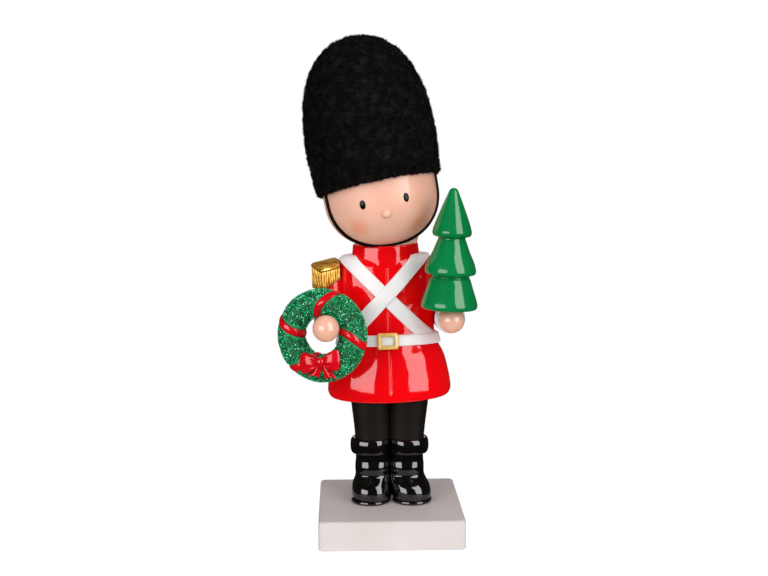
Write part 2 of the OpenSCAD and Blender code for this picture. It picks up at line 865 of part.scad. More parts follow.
module head() {
    color(skin_paint) head_frame()
        difference() {
            union() {
                difference() {
                    head_form(0);
                    rim_plane() above_plane();
                }
                translate([0, 0, face_h - plug_h / 2]) cylinder(r = plug_r, h = plug_h * 1.5);
            }
            translate([0, 0, -neck_peg_depth - socket_gap])
                cylinder(r = neck_peg_r + socket_gap, h = 2 * (neck_peg_depth + socket_gap));
            for (side = [right, left]) eye_shape(side, socket_gap);
            nose_pocket();
        }
}

module eye(side) {
    color(boot_paint) head_frame() eye_shape(side, 0);
}

module nose() {
    color(skin_paint) head_frame() face_place(0, nose_h)
        difference() {
            sphere(nose_r);
            translate([0, 0, socket_gap - nose_seat]) below_plane();
        }
}

module strap_slab(gap) {
    translate([0, strap_centre_y, jaw_h]) rotate([-strap_pitch, 0, strap_turn])
        cube([3 * overrun, strap_w + 2 * gap, 3 * overrun], center = true);
}

module chin_strap() {
    color(boot_paint) head_frame()
        intersection() {
            difference() {
                head_form(seat_gap + strap_t);
                head_form(seat_gap);
                rim_plane() translate([0, 0, -seat_gap]) above_plane();
            }
            strap_slab(0);
        }
}

module bearskin_hat() {
    color(flock_paint) head_frame()
        difference() {
            translate([0, 0, face_h])
                rotate_extrude()
                    polygon(concat(
                        [[0, hat_outline_shares[0][1] * hat_h]],
                        smooth(sized(hat_outline_shares, hat_r, hat_h), 2)
                    ));
            rim_plane() translate([0, 0, seat_gap]) below_plane();
            cylinder(r = plug_r + socket_gap, h = face_h + plug_h + socket_gap);
        }
}

// Arms: an upright sleeve, a bend and a forearm that points forwards
module forearm_frame(hand_z) {
    translate([arm_x, 0, hand_z]) rotate(forearm_turn) rotate([90, 0, 0]) children();
}

module sleeve_form(arm) {
    hand_z = arm[0];
    upright = shoulder_ball_z - hand_z - elbow_r;
    translate([arm_x, 0, shoulder_ball_z]) {
        sphere(shoulder_r);
        mirror([0, 0, 1]) cylinder(r1 = shoulder_r, r2 = sleeve_r, h = upright);
    }
    translate([arm_x, 0, hand_z]) rotate(forearm_turn)
        translate([0, -elbow_r, elbow_r]) rotate([0, 90, 0])
            rotate_extrude(angle = 90) translate([elbow_r, 0]) circle(sleeve_r);
    forearm_frame(hand_z)
        translate([0, 0, elbow_r]) cylinder(r = sleeve_r, h = arm[2] - cuff_l - elbow_r);
}

module sleeve(side, arm) {
    color(tunic_paint) lean() on_side(side)
        difference() {
            sleeve_form(arm);
            mirror([1, 0, 0]) translate([-arm_flat_x - seat_gap, -overrun, 0])
                cube([overrun, 2 * overrun, shoulder_z + overrun]);
            arm_peg_shape(left, socket_gap);
            forearm_frame(arm[0])
                translate([0, 0, arm[2] - cuff_l - sleeve_bore_l])
                    cylinder(r = wrist_r + socket_gap, h = sleeve_bore_l + overrun);
        }
}

module arm_peg(side) {
    color(steel_paint) lean() arm_peg_shape(side, 0);
}

module sleeve_cuff(side, arm) {
    edge = cuff_l / 4;
    color(belt_paint) lean() on_side(side) forearm_frame(arm[0])
        difference() {
            translate([0, 0, arm[2] - cuff_l + socket_gap]) {
                translate([0, 0, edge]) cylinder(r = cuff_r, h = cuff_l - 2 * edge);
                cylinder(r1 = cuff_r - edge, r2 = cuff_r, h = edge);
                translate([0, 0, cuff_l - edge]) cylinder(r1 = cuff_r, r2 = cuff_r - edge, h = edge);
            }
            cylinder(r = wrist_r + socket_gap, h = arm[1]);
            translate([0, 0, arm[1]]) sphere(hand_r + seat_gap);
        }
}

module hand(side, arm) {
    color(skin_paint) lean() on_side(side)
        difference() {
            forearm_frame(arm[0]) {
                translate([0, 0, arm[1]]) sphere(hand_r);
                translate([0, 0, arm[2] - cuff_l - sleeve_bore_l + socket_gap])
                    cylinder(r = wrist_r, h = arm[1] - arm[2] + cuff_l + sleeve_bore_l);
            }
            if (side == left) tree_pin_shape(socket_gap);
        }
}

// Epaulettes
module pad_frame() {
    translate([arm_x + pad_l / 20, -pad_d / 12, shoulder_ball_z + pad_rise]) rotate(-pad_turn) children();
}

module pad_tilt() {
    rotate([pad_fall, pad_slope, 0]) children();
}

module arm_side_cut() {
    translate([arm_flat_x + seat_gap - overrun, -overrun, 0])
        cube([overrun, 2 * overrun, 2 * shoulder_z]);
}

module epaulette_pad(side) {
    inset_l = pad_l / 2 + cord_r - pad_edge;
    inset_d = pad_d / 2 + cord_r - pad_edge;
    color(gold_paint) lean() on_side(side)
        difference() {
            pad_frame() pad_tilt()
                hull()
                    for (x = [-inset_l, inset_l], y = [-inset_d, inset_d])
                        translate([x, y, -pad_edge]) {
                            sphere(pad_edge, $fn = 16);
                            mirror([0, 0, 1]) cylinder(r = pad_edge, h = pad_t - pad_edge, $fn = 16);
                        }
            arm_side_cut();
        }
}

module fringe_cords() {
    for (i = [0:fringe_count - 1])
        translate([pad_l / 2, (i + 0.5) * 2 * cord_r - pad_d / 2, -fringe_h - pad_t])
            cylinder(r = cord_r, h = fringe_h + pad_t, $fn = 24);
    for (i = [0:cord_count_side - 1], y = [-1, 1])
        translate([(i + 0.5) * 2 * cord_r - pad_l / 2, y * pad_d / 2, -fringe_h - pad_t])
            cylinder(r = cord_r, h = fringe_h + pad_t, $fn = 24);
}

module epaulette_fringe(side) {
    color(gold_paint) lean() on_side(side)
        difference() {
            pad_frame()
                difference() {
                    union() {
                        translate([-pad_l / 2, -pad_d / 2, -fringe_h - pad_t])
                            cube([pad_l, pad_d, fringe_h + pad_t]);
                        fringe_cords();
                    }
                    pad_tilt() translate([0, 0, -pad_t - seat_gap]) above_plane();
                    translate([pad_l * 0.45, 0, -fringe_h - pad_t]) rotate([0, 28, 0]) below_plane();
                }
            arm_side_cut();
            translate([arm_x, 0, shoulder_ball_z]) {
                sphere(shoulder_r + seat_gap);
                mirror([0, 0, 1]) cylinder(r1 = shoulder_r + seat_gap, r2 = sleeve_r + seat_gap,
                                           h = shoulder_ball_z - left_hand_z - elbow_r);
            }
        }
}

// Tree
module tree_frame() {
    translate([arm_x + left_reach * sin(forearm_turn) + tree_shift,
               -left_reach * cos(forearm_turn), left_hand_z])
        rotate([0, tree_lean, 0]) children();
}

module tree_pin_shape(gap) {
    tree_frame() translate([0, 0, hand_r - tree_pin_l / 2 - gap])
        cylinder(d = tree_pin_d + 2 * gap, h = tree_pin_l + 2 * gap);
}

module tree_pin() {
    color(steel_paint) lean() tree_pin_shape(0);
}

module fir_tree() {
    color(fir_paint) lean()
        difference() {
            tree_frame() translate([0, 0, hand_r - hand_r / 5])
                rotate_extrude()
                    polygon(concat(
                        [[0, tree_outline_shares[0][1] * tree_h]],
                        smooth(sized(tree_outline_shares, tree_r, tree_h), 2)
                    ));
            tree_frame() translate([-tree_shift, 0, 0]) sphere(hand_r + seat_gap);
            forearm_frame(left_hand_z)
                cylinder(r = max(sleeve_r, cuff_r) + seat_gap, h = left_arm[2] + seat_gap * 2);
            tree_pin_shape(socket_gap);
        }
}

// Wreath: its own frame has the roll's middle circle in the XZ plane
module wreath_frame() {
    lean() translate([wreath_x, -wreath_reach, wreath_z])
        rotate([-wreath_lean, 0, -wreath_turn]) children();
}

function roll_point(ring_angle, roll_angle, radius) =
    let (reach = wreath_r + radius * cos(roll_angle))
    [reach * sin(ring_angle), -radius * sin(roll_angle), reach * cos(ring_angle)];

module wreath_ring() {
    color(wreath_paint) wreath_frame()
        rotate([90, 0, 0]) rotate_extrude() translate([wreath_r, 0]) circle(wreath_roll_r);
}

// A ribbon goes once round the roll, from an outer angle to an inner one and back
module wreath_ribbon(index) {
    outer_angle = ribbon_outer_angles[index];
    inner_angle = ribbon_inner_angles[index];
    steps = 24;
    under = wreath_roll_r + seat_gap;
    over = under + band_t;
    color(ribbon_paint) wreath_frame()
        loop_skin([
            for (i = [0:steps - 1])
                let (a = 360 * i / steps,
                     middle = (outer_angle + inner_angle) / 2,
                     swing = (outer_angle - inner_angle) / 2,
                     at = middle + swing * cos(a),
                     half = band_w / 2 / (wreath_r + wreath_roll_r * cos(a)) * 180 / PI)
                [roll_point(at - half, a, under), roll_point(at + half, a, under),
                 roll_point(at + half, a, over), roll_point(at - half, a, over)]
        ]);
}

// Bow: two puffed loops drawn in to the knot, and two notched tails behind them
module bow_loops() {
    half = smooth(bow_loop_shares, 2);
    last = len(half) - 1;
    all = concat([for (i = [0:last - 1]) let (s = half[last - i]) [-s[0], s[1], s[2]]], half);
    skin([
        for (s = all)
            [for (i = [0:15])
                let (a = 360 * i / 16)
                [s[0] * bow_reach, -bow_t / 2 - s[2] * bow_t / 2 * sin(a), s[1] * bow_h * cos(a)]]
    ]);
}

module bow_tails() {
    half = [
        [knot_r, 0], [knot_r * 1.6 + tail_w, -tail_l * 0.88],
        [knot_r * 1.2 + tail_w / 2, tail_notch - tail_l], [knot_r * 0.8, -tail_l], [0, -knot_r * 1.5]
    ];
    last = len(half) - 1;
    translate([0, -bow_t / 10, 0]) rotate([90, 0, 0])
        linear_extrude(bow_t / 3)
            polygon(concat(half, [for (i = [1:last]) let (p = half[last - i]) [-p[0], p[1]]]));
}

module wreath_bow() {
    color(ribbon_paint) wreath_frame()
        translate([bow_shift, bow_y, -knot_drop]) {
            bow_loops();
            bow_tails();
            translate([0, -bow_t / 2 - bow_t / 8, 0]) sphere(knot_r, $fn = 24);
        }
}

base_plinth();
leg_pin(right);  // leg_pin_right
leg_pin(left);  // leg_pin_left
boot_sole(right);  // boot_sole_right
boot_sole(left);  // boot_sole_left
boot(right);  // boot_right
boot(left);  // boot_left
boot_roll(right);  // boot_roll_right
boot_roll(left);  // boot_roll_left
trouser_leg(right);  // trouser_leg_right
trouser_leg(left);  // trouser_leg_left
tunic();
waist_belt();
belt_buckle();
cross_belt_under();
cross_belt_over();
collar();
neck();
neck_peg();
head();
nose();
eye(right);  // eye_right
eye(left);  // eye_left
chin_strap();
bearskin_hat();
arm_peg(right);  // arm_peg_right
arm_peg(left);  // arm_peg_left
sleeve(right, right_arm);  // sleeve_right
sleeve(left, left_arm);  // sleeve_left
sleeve_cuff(right, right_arm);  // sleeve_cuff_right
sleeve_cuff(left, left_arm);  // sleeve_cuff_left
hand(right, right_arm);  // hand_right
hand(left, left_arm);  // hand_left
epaulette_pad(right);  // epaulette_pad_right
epaulette_pad(left);  // epaulette_pad_left
epaulette_fringe(right);  // epaulette_fringe_right
epaulette_fringe(left);  // epaulette_fringe_left
fir_tree();
tree_pin();
wreath_ring();
wreath_ribbon(0);  // wreath_ribbon_top
wreath_ribbon(1);  // wreath_ribbon_inner
wreath_ribbon(2);  // wreath_ribbon_outer
wreath_ribbon(3);  // wreath_ribbon_low
wreath_bow();
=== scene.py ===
# %% [markdown]
# # A toy soldier, dressed in cells
# The figurine is a cast, lacquered guardsman on a square plinth. The CAD part gives every
# place and size, and this notebook gives the looks: smooth lacquered skins, a flocked hat,
# a grainy wreath and corded epaulettes. The sizes are in millimetres, as on the drawing,
# and each finished mesh is scaled to metres once.

# %% Load the packed model
import json
import math

import bmesh
import bpy
from mathutils import Matrix, Vector, noise


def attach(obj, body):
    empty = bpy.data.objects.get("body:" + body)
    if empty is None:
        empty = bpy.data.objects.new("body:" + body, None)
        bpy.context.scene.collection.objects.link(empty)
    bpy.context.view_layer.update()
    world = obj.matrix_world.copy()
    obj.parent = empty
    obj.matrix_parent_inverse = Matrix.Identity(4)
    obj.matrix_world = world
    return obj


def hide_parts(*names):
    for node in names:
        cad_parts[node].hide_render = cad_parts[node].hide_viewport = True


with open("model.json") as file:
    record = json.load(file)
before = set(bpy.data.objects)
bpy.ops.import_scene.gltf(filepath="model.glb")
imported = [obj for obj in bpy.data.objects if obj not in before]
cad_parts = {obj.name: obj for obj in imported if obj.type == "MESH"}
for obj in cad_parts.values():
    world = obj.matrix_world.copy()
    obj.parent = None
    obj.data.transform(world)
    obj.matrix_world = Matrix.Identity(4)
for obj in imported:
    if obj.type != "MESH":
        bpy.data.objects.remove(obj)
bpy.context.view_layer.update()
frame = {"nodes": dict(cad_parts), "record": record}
scene = bpy.context.scene


def put(name, data):
    made = bpy.data.objects.new(name, data)
    scene.collection.objects.link(made)
    return made


print("CAD nodes:", len(frame["nodes"]))

# %% [markdown]
# ## Camera
# The photograph was fitted beforehand: the camera stands 636 mm in front of the figure, a
# little to its right and above the wreath, and looks down by about 7.4 degrees. A camera
# could be aimed with a constraint, but plain angles keep the frame fixed.

# %% Place the camera
FILM_W, FOCAL_PIXELS, PHOTO_PIXELS = 36, 1150, 768
CAMERA_AT, LOOK_DOWN, LOOK_RIGHT = (-0.0262855, -0.6360543, 0.2211312), 0.1298951, 0.0363913
eye = bpy.data.cameras.new("photo_camera")
eye.sensor_width = FILM_W
eye.lens = FOCAL_PIXELS / PHOTO_PIXELS * FILM_W
camera = put("photo_camera", eye)
camera.location = CAMERA_AT
camera.rotation_euler = (math.pi / 2 - LOOK_DOWN, 0, -LOOK_RIGHT)
scene.camera = camera
print("lens in millimetres:", round(eye.lens, 2))

# %% [markdown]
# ## Light
# The lacquer mirrors two softboxes: a low wide one on the left and a tall one on the right.
# Point lamps would give dots, so area lamps with the boxes' real shape stand round the
# figure. The mirror pair shows in reflections only. The fill pair, with a weak lamp in
# front, lights the paint only. So highlights and colours are set apart, and a colour renders
# about as it is written.

# %% Hang the softboxes
AIM, LAMP_AWAY = Vector((0, 0, 0.14)), 1.3


def softbox(name, azimuth, elevation, wide, tall, radiance, mirrored_only):
    lamp = bpy.data.lights.new(name, "AREA")
    lamp.shape = "RECTANGLE"
    lamp.size = 2 * LAMP_AWAY * math.tan(math.radians(wide / 2))
    lamp.size_y = 2 * LAMP_AWAY * math.tan(math.radians(tall / 2))
    lamp.energy = radiance * math.pi * lamp.size * lamp.size_y
    a, e = math.radians(azimuth), math.radians(elevation)
    way = Vector((math.sin(a) * math.cos(e), -math.cos(a) * math.cos(e), math.sin(e)))
    box = put(name, lamp)
    box.location = AIM + way * LAMP_AWAY
    box.rotation_euler = (-way).to_track_quat("-Z", "Y").to_euler()
    box.visible_diffuse = not mirrored_only
    box.visible_glossy = mirrored_only
    print(name, "watts:", round(lamp.energy, 1))


softbox("fill_left", -40, 26, 42, 60, 2.2, False)
softbox("fill_right", 42, 26, 40, 60, 2.4, False)
softbox("fill_front", 12, 10, 50, 30, 0.6, False)
softbox("mirror_left", -40, 7, 42, 30, 5.5, True)
softbox("mirror_right", 43, 23, 34, 62, 5.5, True)

# %% [markdown]
# ## Node trees as Python
# Wiring nodes by hand hides the idea. A `Wire` wraps a socket and turns `+`, `-` and `*` into
# Math nodes, and `Nodes.node` makes any other node from its type, its values and its
# settings. The same two serve the world, the finishes and the geometry recipes.


# %% Wrap sockets and trees
def maths(operation, swapped=False):
    def method(self, other):
        first, second = (other, self) if swapped else (self, other)
        return self.nodes.node("ShaderNodeMath", {0: first, 1: second}, operation=operation)
    return method


class Wire:
    """A socket that can be added, subtracted and multiplied."""

    def __init__(self, nodes, socket):
        self.nodes, self.socket = nodes, socket

    def other(self, output):
        return Wire(self.nodes, self.socket.node.outputs[output])

    __add__, __radd__ = maths("ADD"), maths("ADD", True)
    __sub__, __rsub__ = maths("SUBTRACT"), maths("SUBTRACT", True)
    __mul__, __rmul__ = maths("MULTIPLY"), maths("MULTIPLY", True)
    most = maths("MAXIMUM")


class Nodes:
    """A node tree that makes its nodes from values and wires."""

    def __init__(self, tree):
        self.tree = tree
        tree.nodes.clear()

    def node(self, kind, values=None, output=0, **settings):
        made = self.tree.nodes.new(kind)
        for key, value in settings.items():
            if key == "stops":
                ramp = made.color_ramp
                for i, (position, colour) in enumerate(value):
                    if i >= len(ramp.elements):
                        ramp.elements.new(position)
                    ramp.elements[i].position = position
                    ramp.elements[i].color = (*colour, 1)
            else:
                setattr(made, key, value)
        for key, value in (values or {}).items():
            socket = made.inputs[key]
            wires = value if isinstance(value, list) else [value]
            if isinstance(wires[0], Wire):
                for wire in wires:
                    self.tree.links.new(wire.socket, socket)
            elif hasattr(value, "__len__") and socket.type == "RGBA":
                socket.default_value = (*value[:3], 1)
            else:
                socket.default_value = value
        return Wire(self, made.outputs[output])

    def end(self, kind, wire):
        self.tree.links.new(wire.socket, self.tree.nodes.new(kind).inputs[0])


print("wires can", [name for name in vars(Wire) if name.startswith("__r")])

# %% [markdown]
# The backdrop is white. It is painted only for camera rays, and for reflections that look
# straight back at it, so the white adds no light to the figure. Every other ray meets a dim
# studio, and a mirror meets an almost dark one. The world's direction picks the patch of
# backdrop behind the figure.

# %% Paint the world
STUDIO, STUDIO_IN_MIRRORS = 0.34, 0.03
world = bpy.data.worlds.new("studio")
scene.world = world
world.use_nodes = True
sky = Nodes(world.node_tree)
ray = sky.node("ShaderNodeLightPath")
glossy = ray.other("Is Glossy Ray")
direction = sky.node("ShaderNodeTexCoord", output="Generated")
backwards = sky.node("ShaderNodeSeparateXYZ", {0: direction}, "Y")
patch = sky.node("ShaderNodeMapRange", {"Value": backwards, "From Min": 0.955, "From Max": 0.975})
seen = (glossy.most(ray.other("Is Transmission Ray")) * patch).most(ray.other("Is Camera Ray"))
dim = sky.node("ShaderNodeBackground",
               {"Color": (1, 0.99, 0.98),
                "Strength": glossy * (STUDIO_IN_MIRRORS - STUDIO) + STUDIO})
bright = sky.node("ShaderNodeBackground", {"Color": (1, 1, 1), "Strength": 1.0})
sky.end("ShaderNodeOutputWorld", sky.node("ShaderNodeMixShader", {0: seen, 1: dim, 2: bright}))
scene.view_settings.view_transform = "Standard"
print("world nodes:", len(world.node_tree.nodes))

# %% [markdown]
# ## Finishes
# The figure is dipped in coloured lacquer: a clean colour, a hard gloss and the faint
# unevenness of a brushed coat. An image texture would slide or blur; noise on the object's
# own coordinates gives clouds of tone, and a shallow bump bends the softboxes' reflections.


# %% Build finishes
class Finish(Nodes):
    """A material that is built from a few painterly helpers."""

    made = {}

    def __init__(self, name):
        self.name, self.material = name, bpy.data.materials.new(name)
        self.material.use_nodes = True
        super().__init__(self.material.node_tree)
        self.place = self.node("ShaderNodeTexCoord", output="Object")

    def grain(self, scale, detail=2.0, roughness=0.5):
        return self.node("ShaderNodeTexNoise",
                         {"Vector": self.place, "Scale": scale, "Detail": detail,
                          "Roughness": roughness})

    def clouds(self, scale, detail=2.0):
        return self.ease(self.grain(scale, detail), 0.3, 0.7)

    def ease(self, value, low, high):
        return self.node("ShaderNodeMapRange",
                         {"Value": value, "From Min": low, "From Max": high},
                         interpolation_type="SMOOTHSTEP")

    def blend(self, factor, first, second):
        return self.node("ShaderNodeMix", {0: factor, 6: first, 7: second}, 2, data_type="RGBA")

    def mark(self, name):
        return self.node("ShaderNodeAttribute", output="Fac", attribute_name=name)

    def distance(self, point):
        return self.node("ShaderNodeVectorMath", {0: self.place, 1: point}, "Value",
                         operation="DISTANCE")

    def bump(self, height, strength, depth):
        return self.node("ShaderNodeBump",
                         {"Height": height, "Strength": strength, "Distance": depth})

    def surface(self, **values):
        self.end("ShaderNodeOutputMaterial", self.node(
            "ShaderNodeBsdfPrincipled",
            {key.replace("_", " "): value for key, value in values.items()}))
        self.made[self.name] = self.material
        return self.material


print("a finish can", [name for name in vars(Finish) if not name.startswith("_")])


# %% Mix the gloss lacquers
def lacquer(name, light, deep, roughness=0.05, waves=0.4, shine=0.5):
    paint = Finish(name)
    normal = paint.bump(paint.grain(95, 1.5) + paint.grain(420) * 0.06, waves, 0.0007)
    return paint.surface(Base_Color=paint.blend(paint.clouds(42), deep, light),
                         Roughness=roughness + paint.grain(900) * 0.03,
                         Specular_IOR_Level=shine, Normal=normal)


tunic_paint = lacquer("tunic_paint", (0.86, 0.001, 0.004), (0.80, 0.001, 0.004))
boot_paint = lacquer("boot_paint", (0.0032, 0.0026, 0.0022), (0.002, 0.0016, 0.0014),
                     0.045, 0.25, 0.85)
fir_paint = lacquer("fir_paint", (0.002, 0.215, 0.055), (0.001, 0.185, 0.045), 0.08, 0.35)
eye_paint = lacquer("eye_paint", (0.003, 0.0015, 0.001), (0.003, 0.0015, 0.001), 0.1, 0.05, 0.2)
strap_paint = lacquer("strap_paint", (0.01, 0.0025, 0.0015), (0.006, 0.0015, 0.001),
                      0.3, 0.05, 0.04)
print("gloss lacquers:", len(Finish.made))

# %% [markdown]
# The ribbons are the same lacquer, with painted shade along each pressed edge. Each
# ribbon's mesh carries a mark that runs from 0 at its middle to 1 at its edge, so the
# painted dark line follows the band wherever it turns.

# %% Mix the ribbon lacquer
paint = Finish("ribbon_paint")
# Painted shade: the edge mark darkens the band towards its rims.
edge = paint.ease(paint.mark("edge"), 0.55, 1.0)
body = paint.blend(paint.clouds(160), (0.56, 0.002, 0.008), (0.72, 0.003, 0.008))
ribbon_paint = paint.surface(
    Base_Color=paint.blend(edge * 0.85, body, (0.12, 0.001, 0.004)),
    Roughness=0.1 + edge * 0.2, Specular_IOR_Level=0.45,
    Normal=paint.bump(paint.grain(300, 1.5), 0.3, 0.0004))
print("ribbon finish:", ribbon_paint.name)

# %% [markdown]
# The skin is pale, with an airbrushed orange blush on both cheeks. A mask painted on the
# mesh would need vertices there; the distance from two points on the head gives the same
# soft discs and stays put when the object is exported. Places on the object set the rest:
# the jaw gets painted light, a little lighter as if lit from below, and a clear coat covers
# the hands and fades away over the face from its upper side by the figure's own left eye.

# %% Mix the skin
CHEEKS, CHEEK_R = [(-0.0168, -0.0232, 0.1734), (0.0142, -0.0196, 0.1757)], 0.0095
paint = Finish("skin_paint")
pale = paint.blend(paint.clouds(50), (0.9, 0.475, 0.345), (0.94, 0.52, 0.385))
discs = [1 - paint.ease(paint.distance(cheek), 0.0, CHEEK_R) for cheek in CHEEKS]
blush = paint.ease(discs[0] + discs[1], 0.0, 1.0)
across = paint.node("ShaderNodeSeparateXYZ", {0: paint.place})
upward = across.other("Z")
above_hands = paint.ease(upward, 0.14, 0.15)
# Painted light: the lower face is blended towards a lighter skin, as if lit from below.
painted_jaw_light = (1 - paint.ease(upward, 0.158, 0.19)) * above_hands
dull = (1 - paint.ease(across, 0.002, 0.01) * paint.ease(upward, 0.176, 0.204)) * above_hands
skin_paint = paint.surface(
    Base_Color=paint.blend(blush * 0.5, paint.blend(painted_jaw_light, pale, (1.0, 0.585, 0.445)),
                           (1.0, 0.3, 0.11)),
    Roughness=0.38 + paint.grain(700) * 0.05, Specular_IOR_Level=0.3,
    Coat_Weight=1 - dull, Coat_Roughness=0.06,
    Subsurface_Weight=0.4, Subsurface_Radius=(0.007, 0.0035, 0.0025), Subsurface_Scale=1.0,
    Normal=paint.bump(paint.grain(90, 1.5), 0.25, 0.0007))
print("blush discs:", len(CHEEKS))

# %% [markdown]
# The belts, the plinth and the trousers are satin paint: a broader, duller sheen with a fine
# orange-peel grain. The plinth has a warm grey that drifts a little, as sprayed paint does.


# %% Mix the satin paints
def satin(name, light, deep, roughness, peel, patches=35, shine=0.28):
    paint = Finish(name)
    fine = paint.grain(1400)
    return paint.surface(Base_Color=paint.blend(paint.clouds(patches, 3), deep, light),
                         Roughness=roughness + fine * 0.08, Specular_IOR_Level=shine,
                         Normal=paint.bump(fine + paint.grain(160) * 2, peel, 0.00012))


belt_paint = satin("belt_paint", (0.86, 0.85, 0.85), (0.80, 0.79, 0.79), 0.3, 0.3)
plinth_paint = satin("plinth_paint", (0.6, 0.555, 0.54), (0.56, 0.51, 0.49), 0.34, 0.35, 22)
trouser_paint = satin("trouser_paint", (0.009, 0.006, 0.0045), (0.007, 0.0047, 0.0035),
                      0.42, 0.4, 60, 0.16)
print("finishes so far:", len(Finish.made))

# %% [markdown]
# Gold on such figures is a metallic paint with a patchy, worn tone. The gold pieces carry a
# mark of their depth: the crests stay bright, and the grooves get painted shade in brown.


# %% Mix the gold and the steel
def gold_with_groove_shade(name, rubbed, bright, metal):
    paint = Finish(name)
    worn = paint.clouds(170, 3)
    # Painted shade: where the crest mark is low, the gold is darkened to a deep brown.
    crest = paint.ease(paint.mark("crest"), 0.15, 0.9)
    return paint.surface(
        Base_Color=paint.blend(crest, (0.12, 0.035, 0.004), paint.blend(worn, rubbed, bright)),
        Metallic=metal, Roughness=0.13 + worn * 0.1, Specular_IOR_Level=0.6,
        Normal=paint.bump(paint.grain(700), 0.12, 0.00025))


gold_paint = gold_with_groove_shade("gold_paint", (0.62, 0.26, 0.014), (0.94, 0.55, 0.1), 0.5)
buckle_gold = gold_with_groove_shade("buckle_gold", (0.9, 0.5, 0.08), (1.0, 0.72, 0.26), 0.2)
paint = Finish("steel")
drawn = paint.grain(2200)
steel = paint.surface(Base_Color=paint.blend(drawn, (0.5, 0.5, 0.52), (0.64, 0.64, 0.66)),
                      Metallic=1.0, Roughness=0.3 + drawn * 0.15)
print("metals:", gold_paint.name, buckle_gold.name, steel.name)

# %% [markdown]
# The hat is flocked: short black fibres stand on a cast dome. Flock drinks light, and its
# colour drifts in soft patches of painted sheen, a shade lighter as if the pile leaned there.

# %% Mix the flock
paint = Finish("flock")
# Painted sheen: noise patches lighten the flock a little.
painted_sheen = paint.ease(paint.grain(230, 4, 0.75), 0.45, 0.68)
flock = paint.surface(
    Base_Color=paint.blend(painted_sheen, (0.0016, 0.0014, 0.0012), (0.013, 0.0105, 0.009)),
    Roughness=0.95, Specular_IOR_Level=0.12,
    Normal=paint.bump(paint.grain(1500), 0.8, 0.0006))
print("flock finish:", flock.name)

# %% [markdown]
# The wreath is covered with fine green grain. Every grain gets a random tone that one ramp
# turns into colour: mid green, with painted shade at the dark end and painted glints at the top.

# %% Mix the wreath's grain
paint = Finish("wreath_grain")
tone = paint.mark("tone")
# Painted shade and glints: the darkest stops stand for grains in shade, the top stop for glints.
ramp = paint.node("ShaderNodeValToRGB", {"Fac": tone}, stops=[
    (0.0, (0.0, 0.012, 0.005)), (0.2, (0.0, 0.1, 0.032)), (0.5, (0.001, 0.3, 0.09)),
    (0.86, (0.006, 0.5, 0.19)), (1.0, (0.28, 0.95, 0.58))])
wreath_grain = paint.surface(Base_Color=ramp, Roughness=0.5 - tone * 0.15,
                             Specular_IOR_Level=0.25,
                             Normal=paint.bump(paint.grain(1500), 0.4, 0.0002))
print("grain finish:", wreath_grain.name)

# %% Give every CAD node its finish
for row in frame["record"]["subparts"]:
    slots = frame["nodes"][row["node"]].data.materials
    chosen = eye_paint if row["node"].startswith("eye_") else Finish.made[row["material_slot"]]
    if len(slots):
        slots[0] = chosen
    else:
        slots.append(chosen)
print("nodes painted:", len(frame["record"]["subparts"]))

# %% [markdown]
# ## Floor
# A pale disc carries the figure. It glows for the camera and turns pure white towards its
# rim, so it melts into the backdrop and still keeps the plinth's soft shadow. A white floor
# would haze the lacquer, so mirrors see it almost black.

# %% Lay the floor
FLOOR_R, FLOOR_DROP, IN_MIRRORS = 0.26, 0.0002, 0.02
paint = Finish("floor_white")
ray = paint.node("ShaderNodeLightPath")
lit = (ray.other("Is Camera Ray") + ray.other("Is Diffuse Ray") * 0.95
       + ray.other("Is Transmission Ray"))


def glow(strength):
    return paint.node("ShaderNodeEmission", {"Color": (1, 1, 1), "Strength": strength})


card = paint.node("ShaderNodeBsdfDiffuse", {"Color": (0.5, 0.5, 0.5)})
soft = paint.node("ShaderNodeAddShader", {0: card, 1: glow(lit * 0.78)})
rim = paint.ease(paint.distance((0.0, 0.0, 0.0)), 0.09, 0.2)
both = paint.node("ShaderNodeMixShader", {0: rim, 1: soft, 2: glow(lit)})
paint.end("ShaderNodeOutputMaterial", paint.node(
    "ShaderNodeMixShader", {0: ray.other("Is Glossy Ray"), 1: both, 2: glow(IN_MIRRORS)}))
disc = bmesh.new()
bmesh.ops.create_circle(disc, cap_ends=True, segments=96, radius=FLOOR_R,
                        matrix=Matrix.Translation((0, 0, -FLOOR_DROP)))
floor_mesh = bpy.data.meshes.new("floor")
disc.to_mesh(floor_mesh)
disc.free()
floor_mesh.materials.append(paint.material)
floor = put("floor", floor_mesh)
print("floor radius in metres:", FLOOR_R)

# %% [markdown]
# ## Shapes in millimetres
# Most of the figure is turned or lofted: rings of points joined into a skin. A modifier
# stack could do the same, but rings give exact sizes from the drawing. A smooth curve
# through a few measured points stands in for the modeller's hand.

# %% Frames of the drawing
MM = Matrix.Scale(0.001, 4)
HEM_Z, SHOULDER_Z = 77.3, 156.3
SIDES = (("right", -1), ("left", 1))


def shift(x, y, z):
    return Matrix.Translation((x, y, z))


def turn(axis, degrees):
    return Matrix.Rotation(math.radians(degrees), 4, axis)


def on_side(side):
    return Matrix.Scale(-1, 4, (1, 0, 0)) if side < 0 else Matrix.Identity(4)


lean = shift(0, 0, HEM_Z) @ turn("Y", -1.6) @ shift(0, 0, -HEM_Z)
head_frame = lean @ shift(1.8, 0, 162.2) @ turn("Y", -8.1)
wreath_frame = lean @ shift(-36.17, -30, 117.644) @ turn("Z", -20) @ turn("X", -5)
print("head stands at", [round(v, 1) for v in head_frame.translation])


